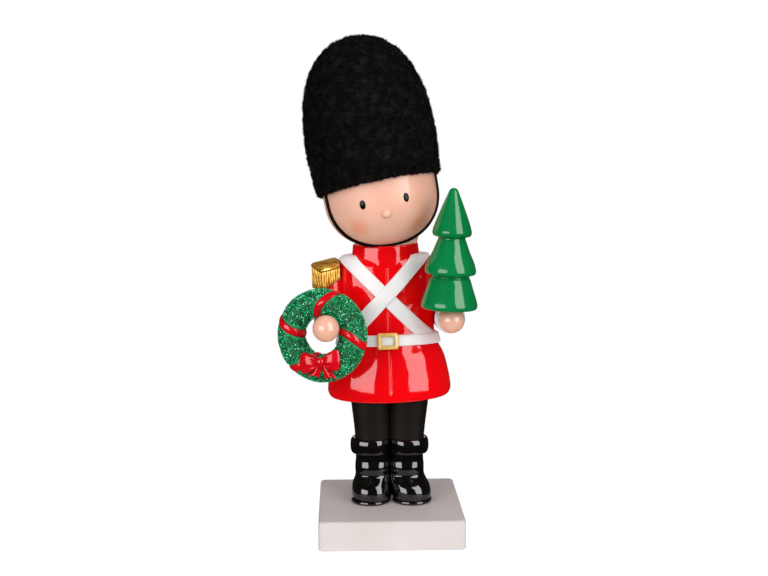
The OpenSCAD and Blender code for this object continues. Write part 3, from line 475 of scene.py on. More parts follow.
# %% Curves, rings and skins
def smooth(points, steps):
    """A curve through all points, with so many steps from one to the next."""
    curve = []
    for i in range(len(points) - 1):
        a, b = points[max(i - 1, 0)], points[i]
        c, d = points[i + 1], points[min(i + 2, len(points) - 1)]
        for s in range(steps):
            t = s / steps
            curve.append([0.5 * (2 * q + (r - p) * t + (2 * p - 5 * q + 4 * r - w) * t * t
                                 + (3 * q - p - 3 * r + w) * t * t * t)
                          for p, q, r, w in zip(a, b, c, d)])
    return curve + [list(points[-1])]


def between(table, value):
    """The table's entry at a value, on a straight line between its rows."""
    if value <= table[0][0]:
        return table[0][1]
    for (low, first), (high, last) in zip(table, table[1:]):
        if value <= high:
            return first + (last - first) * (value - low) / max(high - low, 1e-9)
    return table[-1][1]


def bent(value, power):
    return math.copysign(abs(value) ** power, value)


def turns(count):
    return [2 * math.pi * i / count for i in range(count)]


def circle(count):
    return [(math.cos(a), math.sin(a)) for a in turns(count)]


def quarter(count):
    return circle(4 * count)[:count + 1]


def skin(rings, loop=False, marks=()):
    """Points, faces and marks of a skin over rings, closed by caps or into a loop."""
    count, total = len(rings[0]), len(rings)
    points = [tuple(p) for ring in rings for p in ring]
    faces = []
    for r in range(total if loop else total - 1):
        for i in range(count):
            j, up = (i + 1) % count, (r + 1) % total
            faces.append((r * count + i, r * count + j, up * count + j, up * count + i))
    if not loop:
        faces += [tuple(range(count)), tuple((total - 1) * count + i for i in range(count))]
    rows = [row if isinstance(row, list) else [row] * count for row in marks or [0.0] * total]
    return points, faces, sum(rows, [])


def turned(profile, count=96):
    return skin([[(radius * c, radius * s, z) for c, s in circle(count)] for radius, z in profile])


print("a curve through 3 points:", len(smooth([[0, 0], [1, 1], [2, 0]], 4)), "points")


# %% Make a piece from skins
def make_piece(name, skins, place, finish, crease=40, mark=None):
    points, faces, marks = [], [], []
    for part in skins:
        start = len(points)
        points += part[0]
        faces += [tuple(start + i for i in face) for face in part[1]]
        marks += part[2]
    mesh = bpy.data.meshes.new(name)
    mesh.from_pydata(points, [], faces)
    if mark:
        mesh.attributes.new(mark, "FLOAT", "POINT").data.foreach_set("value", marks)
    work = bmesh.new()
    work.from_mesh(mesh)
    bmesh.ops.remove_doubles(work, verts=work.verts, dist=0.001)
    bmesh.ops.transform(work, matrix=MM @ place, verts=work.verts)
    bmesh.ops.recalc_face_normals(work, faces=work.faces)
    work.to_mesh(mesh)
    work.free()
    mesh.shade_smooth()
    mesh.set_sharp_from_angle(angle=math.radians(crease))
    mesh.materials.append(finish)
    print(name, "faces:", len(mesh.polygons))
    return put(name, mesh)


def seat(piece, paint_slot, *nodes):
    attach(piece, "root")
    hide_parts(*nodes)


def seat_pair(name, shape, finish, crease, paint_slot, node, place=on_side):
    for end, side in SIDES:
        seat(make_piece(name + end, [shape(side)], place(side), finish, crease), paint_slot,
             node + end)


print("sides:", [end for end, side in SIDES])

# %% [markdown]
# ## Plinth
# A cast block with softly rounded edges. A bevelled cube would round every edge alike; here
# a rounded square is lofted up a rounded wall, so the corners and the rims each keep their
# own radius. The same ring, drawn smaller, serves the buckle and the epaulettes later.


# %% Loft the plinth
def rounded_ring(half, corner, inset, z, steps=8):
    radius = max(corner[0] - inset * corner[1], corner[2])
    ring = []
    for corner_at, (cx, cy) in enumerate([(1, 1), (-1, 1), (-1, -1), (1, -1)]):
        for s in range(steps + 1):
            a = math.pi / 2 * (corner_at + s / steps)
            ring.append((cx * (half[0] - inset - radius) + radius * math.cos(a),
                         cy * (half[1] - inset - radius) + radius * math.sin(a), z))
    return ring


def framed(half, corner, table, loop=False):
    """A rounded rectangle's skin from rows of inset, height and crest."""
    return skin([rounded_ring(half, corner, inset, z, 6) for inset, z, crest in table], loop,
                [crest for inset, z, crest in table])


PLINTH_H, PLINTH_HALF, RIM_R = 16.4, 39.98, 1.6
wall = [(1.2, 0.02), (0.35, 0.15), (0.1, 0.4), (0, 0.9)]
wall += [(RIM_R * (1 - c), PLINTH_H - RIM_R + RIM_R * s) for c, s in quarter(8)]
plinth_rings = [rounded_ring((PLINTH_HALF, PLINTH_HALF), (2.4, 0.6, 0.5), *step)
                for step in wall + [(8, PLINTH_H)]]
seat(make_piece("plinth", [skin(plinth_rings)], on_side(1), plinth_paint),
     "plinth_paint", "base_plinth")

# %% [markdown]
# ## Boots
# Each boot is one swelling form: a full toe, a pinched ankle and a straight shaft. Eighteen
# measured sections would look faceted under gloss, so a smooth curve runs through them. The
# feet stand a little over to one side and turn out, and the shafts meet in the middle.

# %% Loft the boots and their soles
LEG_X, FOOT_W, TOE, HEEL, BOOT_Z, BOOT_TOP = 11.2, 10.6, 13.52, 12.48, 18.4, 50.0
FOOT_OVER, SHAFT_OUT, WELT_OUT, TOES_OUT = 0.9, 1.7, 0.35, {-1: 1, 1: 6}
BOOT_SECTIONS = [
    (0, 0.93, 0.95, 0.95), (0.03, 1, 0.99, 1), (0.08, 1.03, 1.02, 1), (0.15, 1.03, 1.03, 0.99),
    (0.2, 1.01, 1.0, 0.97), (0.25, 0.97, 0.95, 0.93), (0.29, 0.92, 0.88, 0.89),
    (0.33, 0.87, 0.795, 0.84), (0.37, 0.825, 0.705, 0.79), (0.405, 0.795, 0.63, 0.75),
    (0.43, 0.78, 0.6, 0.72), (0.46, 0.775, 0.605, 0.7), (0.52, 0.785, 0.655, 0.68),
    (0.58, 0.785, 0.672, 0.67), (0.63, 0.775, 0.648, 0.65), (0.7, 0.755, 0.62, 0.63),
    (0.8, 0.75, 0.622, 0.63), (1, 0.78, 0.64, 0.66)]


def oval(z, outward, inward, front, back, over=0.0, power=0.88):
    return [(over + (outward if c > 0 else inward) * bent(c, power),
             (front if s < 0 else back) * bent(s, power), z) for c, s in circle(96)]


def boot(side):
    rings = []
    for share, w, f, b in smooth(BOOT_SECTIONS, 5):
        toe, shaft = max(0, 1 - share / 0.5), min(1, share / 0.45) ** 2
        close = min(1, share / 0.3) ** 2
        outward = w * FOOT_W + SHAFT_OUT * shaft + (0.8 if side > 0 else 0.1) * toe
        over = side * FOOT_OVER * toe - SHAFT_OUT * shaft
        inward = ((w * FOOT_W + (0.9 if side < 0 else 0.2)) * (1 - close)
                  + (LEG_X + over + 0.4) * close)
        place = shift(LEG_X, 0, 0) @ turn("Z", TOES_OUT[side] * (1 if share < 0.3 else 1 - shaft))
        rings.append([place @ Vector(p) for p in
                      oval(BOOT_Z + share * (BOOT_TOP - BOOT_Z), outward, inward, f * TOE,
                           b * HEEL, over)])
    return skin(rings)


def sole_ring(grow, z):
    circles = [(TOE - FOOT_W, FOOT_W, -1), (HEEL - 0.86 * FOOT_W, 0.86 * FOOT_W, 1)]
    ring = []
    for c, s in circle(96):
        y, r, way = max(circles, key=lambda k: s * k[0] * k[2] + k[1])
        ring.append(((r + grow + WELT_OUT) * c, y * way + (r + grow) * s, z))
    return ring


def sole_place(side):
    return (on_side(side) @ shift(LEG_X, 0, 0) @ turn("Z", TOES_OUT[side])
            @ shift(side * FOOT_OVER + WELT_OUT, 0, PLINTH_H))


sole = skin([sole_ring(*step) for step in
             [(-0.5, 0), (0.0, 0.25), (0.2, 0.7), (0.2, 1.3), (0.02, 1.75), (-0.6, 2.0)]])
seat_pair("boot_skin_", boot, boot_paint, 50, "boot_paint", "boot_")
seat_pair("boot_welt_", lambda side: sole, boot_paint, 40, "boot_paint", "boot_sole_", sole_place)

# %% Turn the rolled boot tops
ROLL_Z, ROLL_HALF, ROLL_OUT, ROLL_X = 48.74, 4.4, 1.86, 9.6
roll_rings = []
for i in range(32):
    a = math.radians(-90 + 180 * i / 31)
    swell = ROLL_OUT * max(math.cos(a), 0) ** 0.62 - ROLL_OUT
    roll_rings.append(oval(ROLL_Z + ROLL_HALF * math.sin(a), 12.6 + swell, 9.9 + swell * 0.2,
                           10.9 + swell, 10.9 + swell, ROLL_X, 0.94))
roll_rings.append(oval(52.6, 8.0, 7.0, 7.5, 7.5, ROLL_X, 0.94))
seat_pair("boot_cuff_", lambda side: skin(roll_rings), boot_paint, 60, "boot_paint", "boot_roll_")

# %% [markdown]
# ## Trousers
# Two legs stand close together and meet in the middle, so each is an oval that is fuller
# towards the inside. They widen towards the skirt's hem.

# %% Loft the trouser legs
LEG_SECTIONS = [(51.0, 8.9, 9.0), (56, 9.3, 9.3), (62, 9.9, 9.8), (70, 10.9, 10.5),
                (78.5, 11.9, 11.0)]
leg = skin([oval(z, outward, 10.8, deep, deep, 10.4, 0.92)
            for z, outward, deep in smooth(LEG_SECTIONS, 5)])
seat_pair("trouser_skin_", lambda side: leg, trouser_paint, 60, "trouser_paint", "trouser_leg_")

# %% [markdown]
# ## Tunic
# The tunic is a turned outline pressed flat from front to back, with a flared skirt. Its
# chest slopes back a little towards the collar, which is what lets it mirror the softboxes
# above the wreath. Above the waist its sides are cut flat for the arms, and a shallow seam
# runs down the front.

# %% Shape the tunic
HEM_W, PRESSED, ARM_Z, ARM_SIDE, SEAM_HALF, SEAM_DEEP = 34.5, 0.7, 113.6, 25.75, 0.8, 0.55
TUNIC_SHARES = [
    (0.9, 0), (0.96, 0.01), (1, 0.045), (0.998, 0.09), (0.974, 0.16), (0.922, 0.265),
    (0.872, 0.323), (0.812, 0.372), (0.774, 0.425), (0.768, 0.5), (0.78, 0.62),
    (0.785, 0.76), (0.778, 0.87), (0.762, 0.95), (0.715, 0.99), (0.64, 1)]
CHEST_BACK = [(112, 0), (118, 0.25), (124, 0.75), (130, 1.4), (136, 2.1), (142, 2.8),
              (148, 3.55), (153.6, 4.2), (156.3, 4.6)]
outline = smooth([(w * HEM_W, HEM_Z + h * (SHOULDER_Z - HEM_Z)) for w, h in TUNIC_SHARES], 6)
seam_angles = {270 + s * 0.28 for s in range(-9, 10) if s % 8}
angles = [math.radians(a) for a in sorted({i * 2.25 for i in range(160)} | seam_angles)]


def depth_at(width, z):
    return width * PRESSED - between(CHEST_BACK, z)


def tunic_ring(w, z):
    ring, deep = [], depth_at(w, z)
    fade = min(max((z - HEM_Z - 3) / 6, 0), 1)
    keep = ARM_SIDE + max(0, ARM_Z + 1 - z)
    for a in angles:
        x, y = w * math.cos(a), deep * math.sin(a)
        if y < 0 and abs(x) < SEAM_HALF:
            y += SEAM_DEEP * fade * math.cos(x / SEAM_HALF * math.pi / 2) ** 2
        ring.append((max(min(x, keep), -keep) if z > ARM_Z else x, y, z))
    return ring


seat(make_piece("tunic_skin", [skin([tunic_ring(*row) for row in outline])], lean,
                tunic_paint, 60), "tunic_paint", "tunic")

# %% [markdown]
# ## Cross belts
# Each belt is a flat band in a slanted plane, laid on the tunic and carried over the
# shoulder to the back. Its grid is worked out from the tunic's own outline, and `facing`
# gives the way the tunic faces there, so the belt lies flush. A shrink-wrap would do that
# too, but less exactly. The upper belt lifts where they cross.

# %% Lay the cross belts
CROSS_X, CROSS_Z, CROSS_ANGLE, CROSS_W, BELT_LOW = -1.33, 135.405, 45.97, 8.0, 108.0
BELT_SIDE, BELT_SUNK, UP_STEPS, OVER_STEPS, CROSS_LIFT, LIFT_REACH = 25.4, 0.4, 40, 6, 1.05, 7.5
BELT_SECTION = [(-1, -0.3), (-0.97, 0.85), (-0.9, 1.15), (-0.7, 1.22), (-0.35, 1.25), (0, 1.25),
                (0.35, 1.25), (0.7, 1.22), (0.9, 1.15), (0.97, 0.85), (1, -0.3)]
grade = math.tan(math.radians(CROSS_ANGLE))
width_table = sorted((z, w) for w, z in outline)


def belt_column(side, u):
    def across(z):
        return (CROSS_X + side * (z - CROSS_Z) / grade
                + u * CROSS_W / 2 / math.sin(math.atan(grade)))

    def on_tunic(z):
        w, x = between(width_table, z), across(z)
        if z > ARM_Z:
            edge = min(BELT_SIDE, w * 0.9999)
            x = max(-edge, min(edge, x))
        inside = max(0, 1 - (x / w) ** 2)
        return Vector((x, -depth_at(w, z) * math.sqrt(inside), z))

    low = BELT_LOW
    while abs(across(low)) > between(width_table, low) * 0.999 and low < 125:
        low += 0.05
    column = [on_tunic(low + (SHOULDER_Z - low) * (1 - (1 - k / UP_STEPS) ** 1.3))
              for k in range(UP_STEPS + 1)]
    top = column[-1]
    column += [Vector((top.x, top.y * (1 - k / OVER_STEPS), SHOULDER_Z))
               for k in range(1, OVER_STEPS + 1)]
    return column + [Vector((p.x, -p.y, p.z)) for p in column[-2::-1]]


def facing(p):
    """The way in which the tunic faces at a point on it."""
    near = 0.15
    w, lower_w, upper_w = (between(width_table, p.z + step) for step in (0, -near, near))
    deep, lower, upper = (depth_at(a, p.z + step)
                          for a, step in ((w, 0), (lower_w, -near), (upper_w, near)))
    rising = ((upper_w - lower_w) * p.x ** 2 / w ** 3
              + (upper - lower) * p.y ** 2 / deep ** 3) / (2 * near)
    return Vector((p.x / w ** 2, p.y / deep ** 2, -rising)).normalized()


def cross_belt(side, lift):
    columns = [(belt_column(side, u), rise) for u, rise in BELT_SECTION]
    count = len(columns[0][0])
    rings = []
    for k in range(count):
        ring, under = [], []
        for column, rise in columns:
            p = column[k]
            on_top = UP_STEPS < k < count - UP_STEPS - 1
            out_way = Vector((0, 0, 1)) if on_top else facing(p)
            if rise > 0:
                rise += lift * math.exp(-((p.z - CROSS_Z) / LIFT_REACH) ** 4)
            ring.append(p + out_way * rise)
            under.append(p - out_way * BELT_SUNK)
        rings.append(ring + under[::-1])
    return skin(rings)


for end, side, lift in (("under", -1, 0), ("over", 1, CROSS_LIFT)):
    seat(make_piece("cross_band_" + end, [cross_belt(side, lift)], lean, belt_paint),
         "belt_paint", "cross_belt_" + end)

# %% [markdown]
# ## Collar
# A standing collar with a rounded upper edge. It rises a little towards the back, where it
# cups the head.

# %% Loft the collar
COLLAR_RISE, COLLAR_PRESSED = 1.0, 0.73
COLLAR_PROFILE = [(20.2, -5.5, 0), (19.85, -3.6, 0), (19.3, -1.7, 0), (18.85, 0.1, 0),
                  (18.5, 2.2, 0.2), (18.2, 4.3, 0.9), (17.9, 5.1, 1), (17.5, 5.45, 1),
                  (17.1, 5.5, 1), (16.6, 5.3, 1), (16.35, 4.9, 1), (16.3, 0, 0), (16.3, -0.6, 0)]


def collar_ring(c, s):
    rise = 0.8 + COLLAR_RISE * (1 - (0.5 - 0.5 * s) ** 2)
    return [(r * c, (r * COLLAR_PRESSED if r > 17 else 13.14 - (18 - r)) * s,
             SHOULDER_Z + z + rise * lift) for r, z, lift in COLLAR_PROFILE]


seat(make_piece("collar_band", [skin([collar_ring(*way) for way in circle(120)], loop=True)],
                lean, tunic_paint, 60), "tunic_paint", "collar")

# %% [markdown]
# ## Head
# The head is one ball that runs down into the collar, so a turned form and a short flared
# neck make it. The eyes are flat domes and the nose is a low button: sculpting would invite
# detail that such a figurine doesn't have.

# %% Turn the head and the neck
HEAD_R, JAW_H, FACE_H, FACE_TURN, FULLNESS = 31.3, 28, 33.4, 2, 2.2


def head_radius(height):
    below = max(0, (JAW_H - height) / JAW_H)
    return HEAD_R * (1 - min(1, below) ** FULLNESS) ** (1 / FULLNESS)


def head_height(reach):
    return JAW_H - JAW_H * (1 - min(1, reach / HEAD_R) ** FULLNESS) ** (1 / FULLNESS)


def face_place(angle, height):
    return (head_frame @ turn("Z", angle + FACE_TURN)
            @ shift(0, -head_radius(height), height) @ turn("X", 90))


heights = [JAW_H - JAW_H * c for c, s in quarter(36)[1:]]
head_profile = [(0.02, 0)] + [(head_radius(height), height) for height in heights]
head_profile += [(HEAD_R, 31), (HEAD_R, 36), (HEAD_R, 39.5), (20, 39.6)]
seat(make_piece("head_skin", [turned(head_profile, 128)], head_frame, skin_paint),
     "skin_paint", "head")

neck_rings = [[(w * c, d * s, z) for c, s in circle(96)]
              for w, d, z in [(16.9, 12.0, 156.2), (17.0, 12.0, 160.6), (17.2, 11.8, 161.6)]]
head_in_lean = lean.inverted() @ head_frame
for w, d, inside in ((17.8, 8.8, 0.1), (14.5, 6.5, 2.0)):
    ring = [Vector((w * c, d * s, 0)) for c, s in circle(96)]
    neck_rings.append([head_in_lean @ Vector((p.x, p.y, head_height(p.length) + inside))
                       for p in ring])
columns = [smooth(column, 4) for column in zip(*neck_rings)]
seat(make_piece("neck_skin", [skin(list(zip(*columns)))], lean, skin_paint),
     "skin_paint", "neck")

# %% Set the eyes and the nose
EYE_ANGLE, EYE_H, NOSE_H, NOSE_R, NOSE_OUT = 22, 26, 19.3, 2.5, 2.2
EYE_DOME = [(2.4, -0.6), (2.4, 0.02), (2.3, 0.16), (2.05, 0.32), (1.6, 0.47), (0.9, 0.58),
            (0.02, 0.62)]
narrow = Matrix.Diagonal((2 / 3, 1, 1, 1))
seat_pair("eye_dome_", lambda side: turned(smooth(EYE_DOME, 3), 48), eye_paint, 40,
          "boot_paint", "eye_", lambda side: face_place(side * EYE_ANGLE, EYE_H) @ narrow)

button = [(NOSE_R * c, NOSE_OUT * s) for c, s in quarter(12)[:-1]]
seat(make_piece("nose_button", [turned([(NOSE_R, -1.2)] + button + [(0.02, NOSE_OUT)], 48)],
                face_place(0, NOSE_H), skin_paint), "skin_paint", "nose")

# %% [markdown]
# The chin strap lies in a tilted plane round the jaw. A short search from the middle of the
# head finds its surface in each direction, and the strap's section stands on it.

# %% Run the chin strap round the jaw
STRAP_MIDDLE, STRAP_STEPS, STRAP_FROM, STRAP_OVER = Vector((0, -6.96, JAW_H)), 140, -202, 224
STRAP_SECTION = [(-1.05, -0.4), (-1.05, 0.6), (-0.8, 1.1), (-0.3, 1.35), (0.3, 1.35),
                 (0.8, 1.1), (1.05, 0.6), (1.05, -0.4)]
strap_plane = turn("Z", 11) @ turn("X", -6)


def head_reach(p):
    across = (math.hypot(p.x, p.y) / HEAD_R) ** FULLNESS
    below = max(0, (JAW_H - p.z) / JAW_H) ** FULLNESS
    return (across + below) ** (1 / FULLNESS)


def strap_point(angle):
    way = strap_plane @ Vector((math.cos(angle), 0, math.sin(angle)))
    low, high = 0.0, 60.0
    for _ in range(30):
        mid = (low + high) / 2
        low, high = (mid, high) if head_reach(STRAP_MIDDLE + way * mid) < 1 else (low, mid)
    return STRAP_MIDDLE + way * low


strap_rings = []
for i in range(STRAP_STEPS + 1):
    a = math.radians(STRAP_FROM + STRAP_OVER * i / STRAP_STEPS)
    here = strap_point(a)
    ahead = (strap_point(a + 0.01) - strap_point(a - 0.01)).normalized()
    below = min(0, (here.z - JAW_H) * (HEAD_R / JAW_H) ** 2)
    out_way = Vector((here.x, here.y, below)).normalized()
    side_way = out_way.cross(ahead).normalized()
    broad = 1 + 0.45 * max(0, -math.sin(a)) ** 2
    strap_rings.append([here + side_way * s * broad + out_way * t for s, t in STRAP_SECTION])
seat(make_piece("strap_band", [skin(strap_rings)], head_frame, strap_paint, 70),
     "boot_paint", "chin_strap")

# %% [markdown]
# ## Buckle
# An open frame with rounded bars. The bar's section is carried round a rounded rectangle,
# and its crest is marked, so the gold stays bright there and gets painted shade in brown in
# the corners. It is a paler gold than the epaulettes.

# %% Cast the buckle
# The third column is the crest mark; its low values give painted shade on the bars' lower sides.
BAR_SECTION = [(0.2, 0, 0.1), (0, 0.3, 0.2), (0.02, 0.85, 0.7), (0.3, 1.3, 1), (0.8, 1.55, 1),
               (1.3, 1.55, 1), (1.8, 1.3, 1), (2.08, 0.85, 0.6), (2.1, 0.3, 0.2), (1.9, 0, 0.1)]
bars = framed((5.75, 4.5), (1.3, 0.45, 0.3), BAR_SECTION, True)
seat(make_piece("buckle_frame", [bars], lean @ shift(-0.86, -20.896, 111.553)
                @ turn("X", 90 - 5.25), buckle_gold, 60, "crest"), "gold_paint", "belt_buckle")

# %% [markdown]
# ## Fir tree
# Three flared tiers with rolled rims and a blunt tip, all round, so one turned outline
# gives the whole tree. It stands on its pin in the left hand, a little inwards and a little
# wider than drawn, as the photograph shows it.

# %% Turn the tree
TREE_R, TREE_H, TREE_IN, HAND_AT, PIN_L = 15.15, 64.2, 1.8, (31.4, -32.46, 124), 32.5
TREE_SHARES = [
    (0.87, 0.012), (0.955, 0.014), (0.996, 0.035), (0.988, 0.062), (0.925, 0.11), (0.82, 0.18),
    (0.73, 0.245), (0.675, 0.272), (0.67, 0.282), (0.73, 0.292), (0.855, 0.3), (0.895, 0.32),
    (0.887, 0.345), (0.815, 0.4), (0.66, 0.48), (0.53, 0.56), (0.48, 0.588), (0.485, 0.6),
    (0.565, 0.608), (0.65, 0.616), (0.688, 0.636), (0.68, 0.662), (0.59, 0.73), (0.36, 0.87),
    (0.19, 0.965), (0.147, 0.988), (0.086, 1.002), (0.001, 1.008)]
tree_profile = [(10, 1.0)] + [(r * TREE_R, z * TREE_H) for r, z in smooth(TREE_SHARES, 4)]
inward = PIN_L * math.sin(math.radians(3)) - TREE_IN
tree_place = (lean @ shift(HAND_AT[0] + inward, *HAND_AT[1:]) @ turn("Y", 3.6)
              @ shift(0, 0, 5.6))
seat(make_piece("tree", [turned(tree_profile, 112)], tree_place, fir_paint, 70),
     "fir_paint", "fir_tree")

# %% [markdown]
# ## Repeats with Geometry Nodes
# The wreath's grain, the fringe's cords and the flock are thousands of like shapes. A loop
# could place them, but a node tree keeps the rule in one place: points, an instance, a size
# and a turn. `Recipe` builds such a tree, runs it once and keeps the plain mesh.


# %% Build and run node trees
class Recipe(Nodes):
    """A Geometry Nodes tree with named inputs that is run once."""

    KINDS = {float: "NodeSocketFloat", int: "NodeSocketInt"}

    def __init__(self, name, **inputs):
        super().__init__(bpy.data.node_groups.new(name, "GeometryNodeTree"))
        self.inputs = inputs
        sockets = [("Geometry", way, "NodeSocketGeometry") for way in ("INPUT", "OUTPUT")]
        sockets += [(key, "INPUT", self.KINDS.get(type(value), "NodeSocketMaterial"))
                    for key, value in inputs.items()]
        for key, way, kind in sockets:
            self.tree.interface.new_socket(key, in_out=way, socket_type=kind)
        self.base = self.node("NodeGroupInput", output="Geometry")

    def __getitem__(self, key):
        return self.base.other(key)

    def named(self, name):
        return self.node("GeometryNodeInputNamedAttribute", {"Name": name}, data_type="FLOAT")

    def random(self, low, high, seed):
        if isinstance(low, tuple):
            return self.node("FunctionNodeRandomValue", {0: low, 1: high, "Seed": seed},
                             data_type="FLOAT_VECTOR")
        return self.node("FunctionNodeRandomValue", {2: low, 3: high, "Seed": seed}, 1,
                         data_type="FLOAT")

    def store(self, name, domain, shape, value):
        return self.node("GeometryNodeStoreNamedAttribute",
                         {"Geometry": shape, "Name": name, "Value": value},
                         data_type="FLOAT", domain=domain)

    def plant(self, points, instance, rotation, scale):
        return self.node("GeometryNodeInstanceOnPoints",
                         {"Points": points, "Instance": instance, "Rotation": rotation,
                          "Scale": scale})

    def join(self, *shapes):
        return self.node("GeometryNodeJoinGeometry", {"Geometry": list(shapes)})

    def serve(self, piece, shape):
        real = self.node("GeometryNodeRealizeInstances", {"Geometry": shape})
        self.end("NodeGroupOutput", self.node("GeometryNodeSetMaterial",
                                              {"Geometry": real, "Material": self["Finish"]}))
        bpy.context.view_layer.update()
        step = piece.modifiers.new("recipe", "NODES")
        step.node_group = self.tree
        for item in self.tree.interface.items_tree:
            if item.in_out == "INPUT" and item.name in self.inputs:
                step[item.identifier] = self.inputs[item.name]
        graph = bpy.context.evaluated_depsgraph_get()
        mesh = bpy.data.meshes.new_from_object(piece.evaluated_get(graph), depsgraph=graph)
        piece.modifiers.clear()
        piece.data = mesh
        print(piece.name, "triangles:", sum(len(p.vertices) - 2 for p in mesh.polygons))
        return piece


print("recipe kinds:", list(Recipe.KINDS.values()))

# %% [markdown]
# ## Wreath
# The roll swells between its ribbons and is drawn in under them, with a smooth raised lip
# beside each one. The base is a torus shaped by its distance from the ribbons, and a mark
# says where it stays bare for the grain.

# %% Shape the roll
WREATH_R, ROLL_R, BAND_W, AROUND, ACROSS, BAND_STEPS, BAND_SUNK = 17.5, 7.3, 4.2, 220, 56, 112, 0.2
RIBBON_ANGLES = [(21, -8), (102, 72), (-69, -86), (-137, -166)]
DRAWN_IN, DRAWN_W, LIP, LIP_AT, LIP_W, LUMPS, BARE_FROM = 0.5, 3.4, 0.42, 2.85, 0.62, 0.22, 3.3


def roll_point(ring_angle, roll_angle, radius):
    reach = WREATH_R + radius * math.cos(roll_angle)
    return Vector((reach * math.sin(ring_angle), -radius * math.sin(roll_angle),
                   reach * math.cos(ring_angle)))


def ribbon_angle(index, roll_angle):
    outer, inner = RIBBON_ANGLES[index]
    return math.radians((outer + inner) / 2 + (outer - inner) / 2 * math.cos(roll_angle))


def to_ribbon(ring_angle, roll_angle):
    ways = [ring_angle - ribbon_angle(index, roll_angle) + math.pi for index in range(4)]
    return min(abs(way % (2 * math.pi) - math.pi) * (WREATH_R + ROLL_R * math.cos(roll_angle))
               for way in ways)


def roll_radius(a, b, away):
    drawn_in = -DRAWN_IN * math.exp(-(away / DRAWN_W) ** 2)
    lip = LIP * math.exp(-((away - LIP_AT) / LIP_W) ** 2)
    return ROLL_R + drawn_in + lip + LUMPS * noise.noise(roll_point(a, b, ROLL_R) * 0.14)


rings, marks = [], []
for a in turns(AROUND):
    row = [(b, to_ribbon(a, b)) for b in turns(ACROSS)]
    rings.append([roll_point(a, b, roll_radius(a, b, away)) for b, away in row])
    marks.append([1.0 if away > BARE_FROM else 0.0 for b, away in row])
roll = make_piece("wreath_roll", [skin(rings, True, marks)], wreath_frame, wreath_grain, 180,
                  "bare")

# %% [markdown]
# The node tree scatters faceted beads where the roll is bare, and gives every bead its own
# turn, size and tone. The bare roll between the beads gets a low tone, as painted shade in the
# gaps.

# %% Scatter the grain over the roll
recipe = Recipe("grain_recipe", Spacing=0.00088, Bead=0.00054, Seed=7, Finish=wreath_grain)
bare = recipe.named("bare")
points = recipe.node("GeometryNodeDistributePointsOnFaces",
                     {"Mesh": recipe.base, "Distance Min": recipe["Spacing"],
                      "Density Max": 4000000.0, "Density Factor": bare, "Seed": recipe["Seed"]},
                     distribute_method="POISSON")
bead = recipe.node("GeometryNodeMeshIcoSphere", {"Radius": recipe["Bead"], "Subdivisions": 1})
grains = recipe.plant(points, bead, recipe.random((0, 0, 0), (6.3, 6.3, 6.3), 11),
                      recipe.random((0.65, 0.65, 0.65), (1.2, 1.2, 1.2), 12))
toned = recipe.store("tone", "INSTANCE", grains, recipe.random(0.15, 1.0, 13))
# Painted shade: the bare roll under the grain takes a dark tone, the roll beside the ribbons a mid
# one.
base = recipe.store("tone", "POINT", recipe.base, bare * -0.5 + 0.62)
seat(recipe.serve(roll, recipe.join(toned, base)), "wreath_grain", "wreath_ring")

# %% Wind the ribbons round the roll
# The third column is the edge mark, which gives painted shade at the band's rims.
BAND_SECTION = [(-1, -0.55, 1), (-1, 0.2, 1), (-0.9, 0.5, 0.9), (-0.72, 0.62, 0.55),
                (-0.45, 0.8, 0.2), (-0.15, 0.9, 0), (0.15, 0.9, 0), (0.45, 0.8, 0.2),
                (0.72, 0.62, 0.55), (0.9, 0.5, 0.9), (1, 0.2, 1), (1, -0.55, 1)]


def ribbon(index):
    def line(roll_angle, radius=ROLL_R - BAND_SUNK):
        return roll_point(ribbon_angle(index, roll_angle), roll_angle, radius)

    rings = []
    for b in turns(BAND_STEPS):
        here = line(b)
        ahead = (line(b + 0.01) - line(b - 0.01)).normalized()
        out_way = (here - line(b, 0)).normalized()
        out_way = (out_way - ahead * out_way.dot(ahead)).normalized()
        side_way = out_way.cross(ahead)
        wave = 0.12 * math.sin(5 * b + index)
        rings.append([here + side_way * (s * (BAND_W / 2 + wave * 0.6))
                      + out_way * (t + wave * (1 - s * s)) for s, t, edge in BAND_SECTION])
    return skin(rings, True, [[edge for _, _, edge in BAND_SECTION]] * len(rings))


for index, end in enumerate(("top", "inner", "outer", "low")):
    seat(make_piece("ribbon_band_" + end, [ribbon(index)], wreath_frame, ribbon_paint, 60,
                    "edge"), "ribbon_paint", "wreath_ribbon_" + end)

# %% [markdown]
# ## Bow
# Two puffed loops swell out of the knot, with folds that fan from it, and two notched tails
# hang below. Cloth simulation would give a soft scarf; a cast bow has firm folds, so each
# loop is lofted from rings whose height and thickness are listed.

# %% Loft the loops, the knot and the tails
LOOP = [(0.0, 1.7, 1.2), (0.1, 2.2, 1.6), (0.25, 3.3, 2.3), (0.42, 4.3, 2.75), (0.6, 5.1, 2.6),
        (0.76, 5.6, 2.1), (0.9, 5.6, 1.3), (0.98, 5.1, 0.6), (1.0, 4.6, 0.2)]
KNOT = [(0.02, -2.4), (1.2, -2.2), (2.0, -1.3), (2.3, 0), (2.0, 1.3), (1.2, 2.2), (0.02, 2.4)]


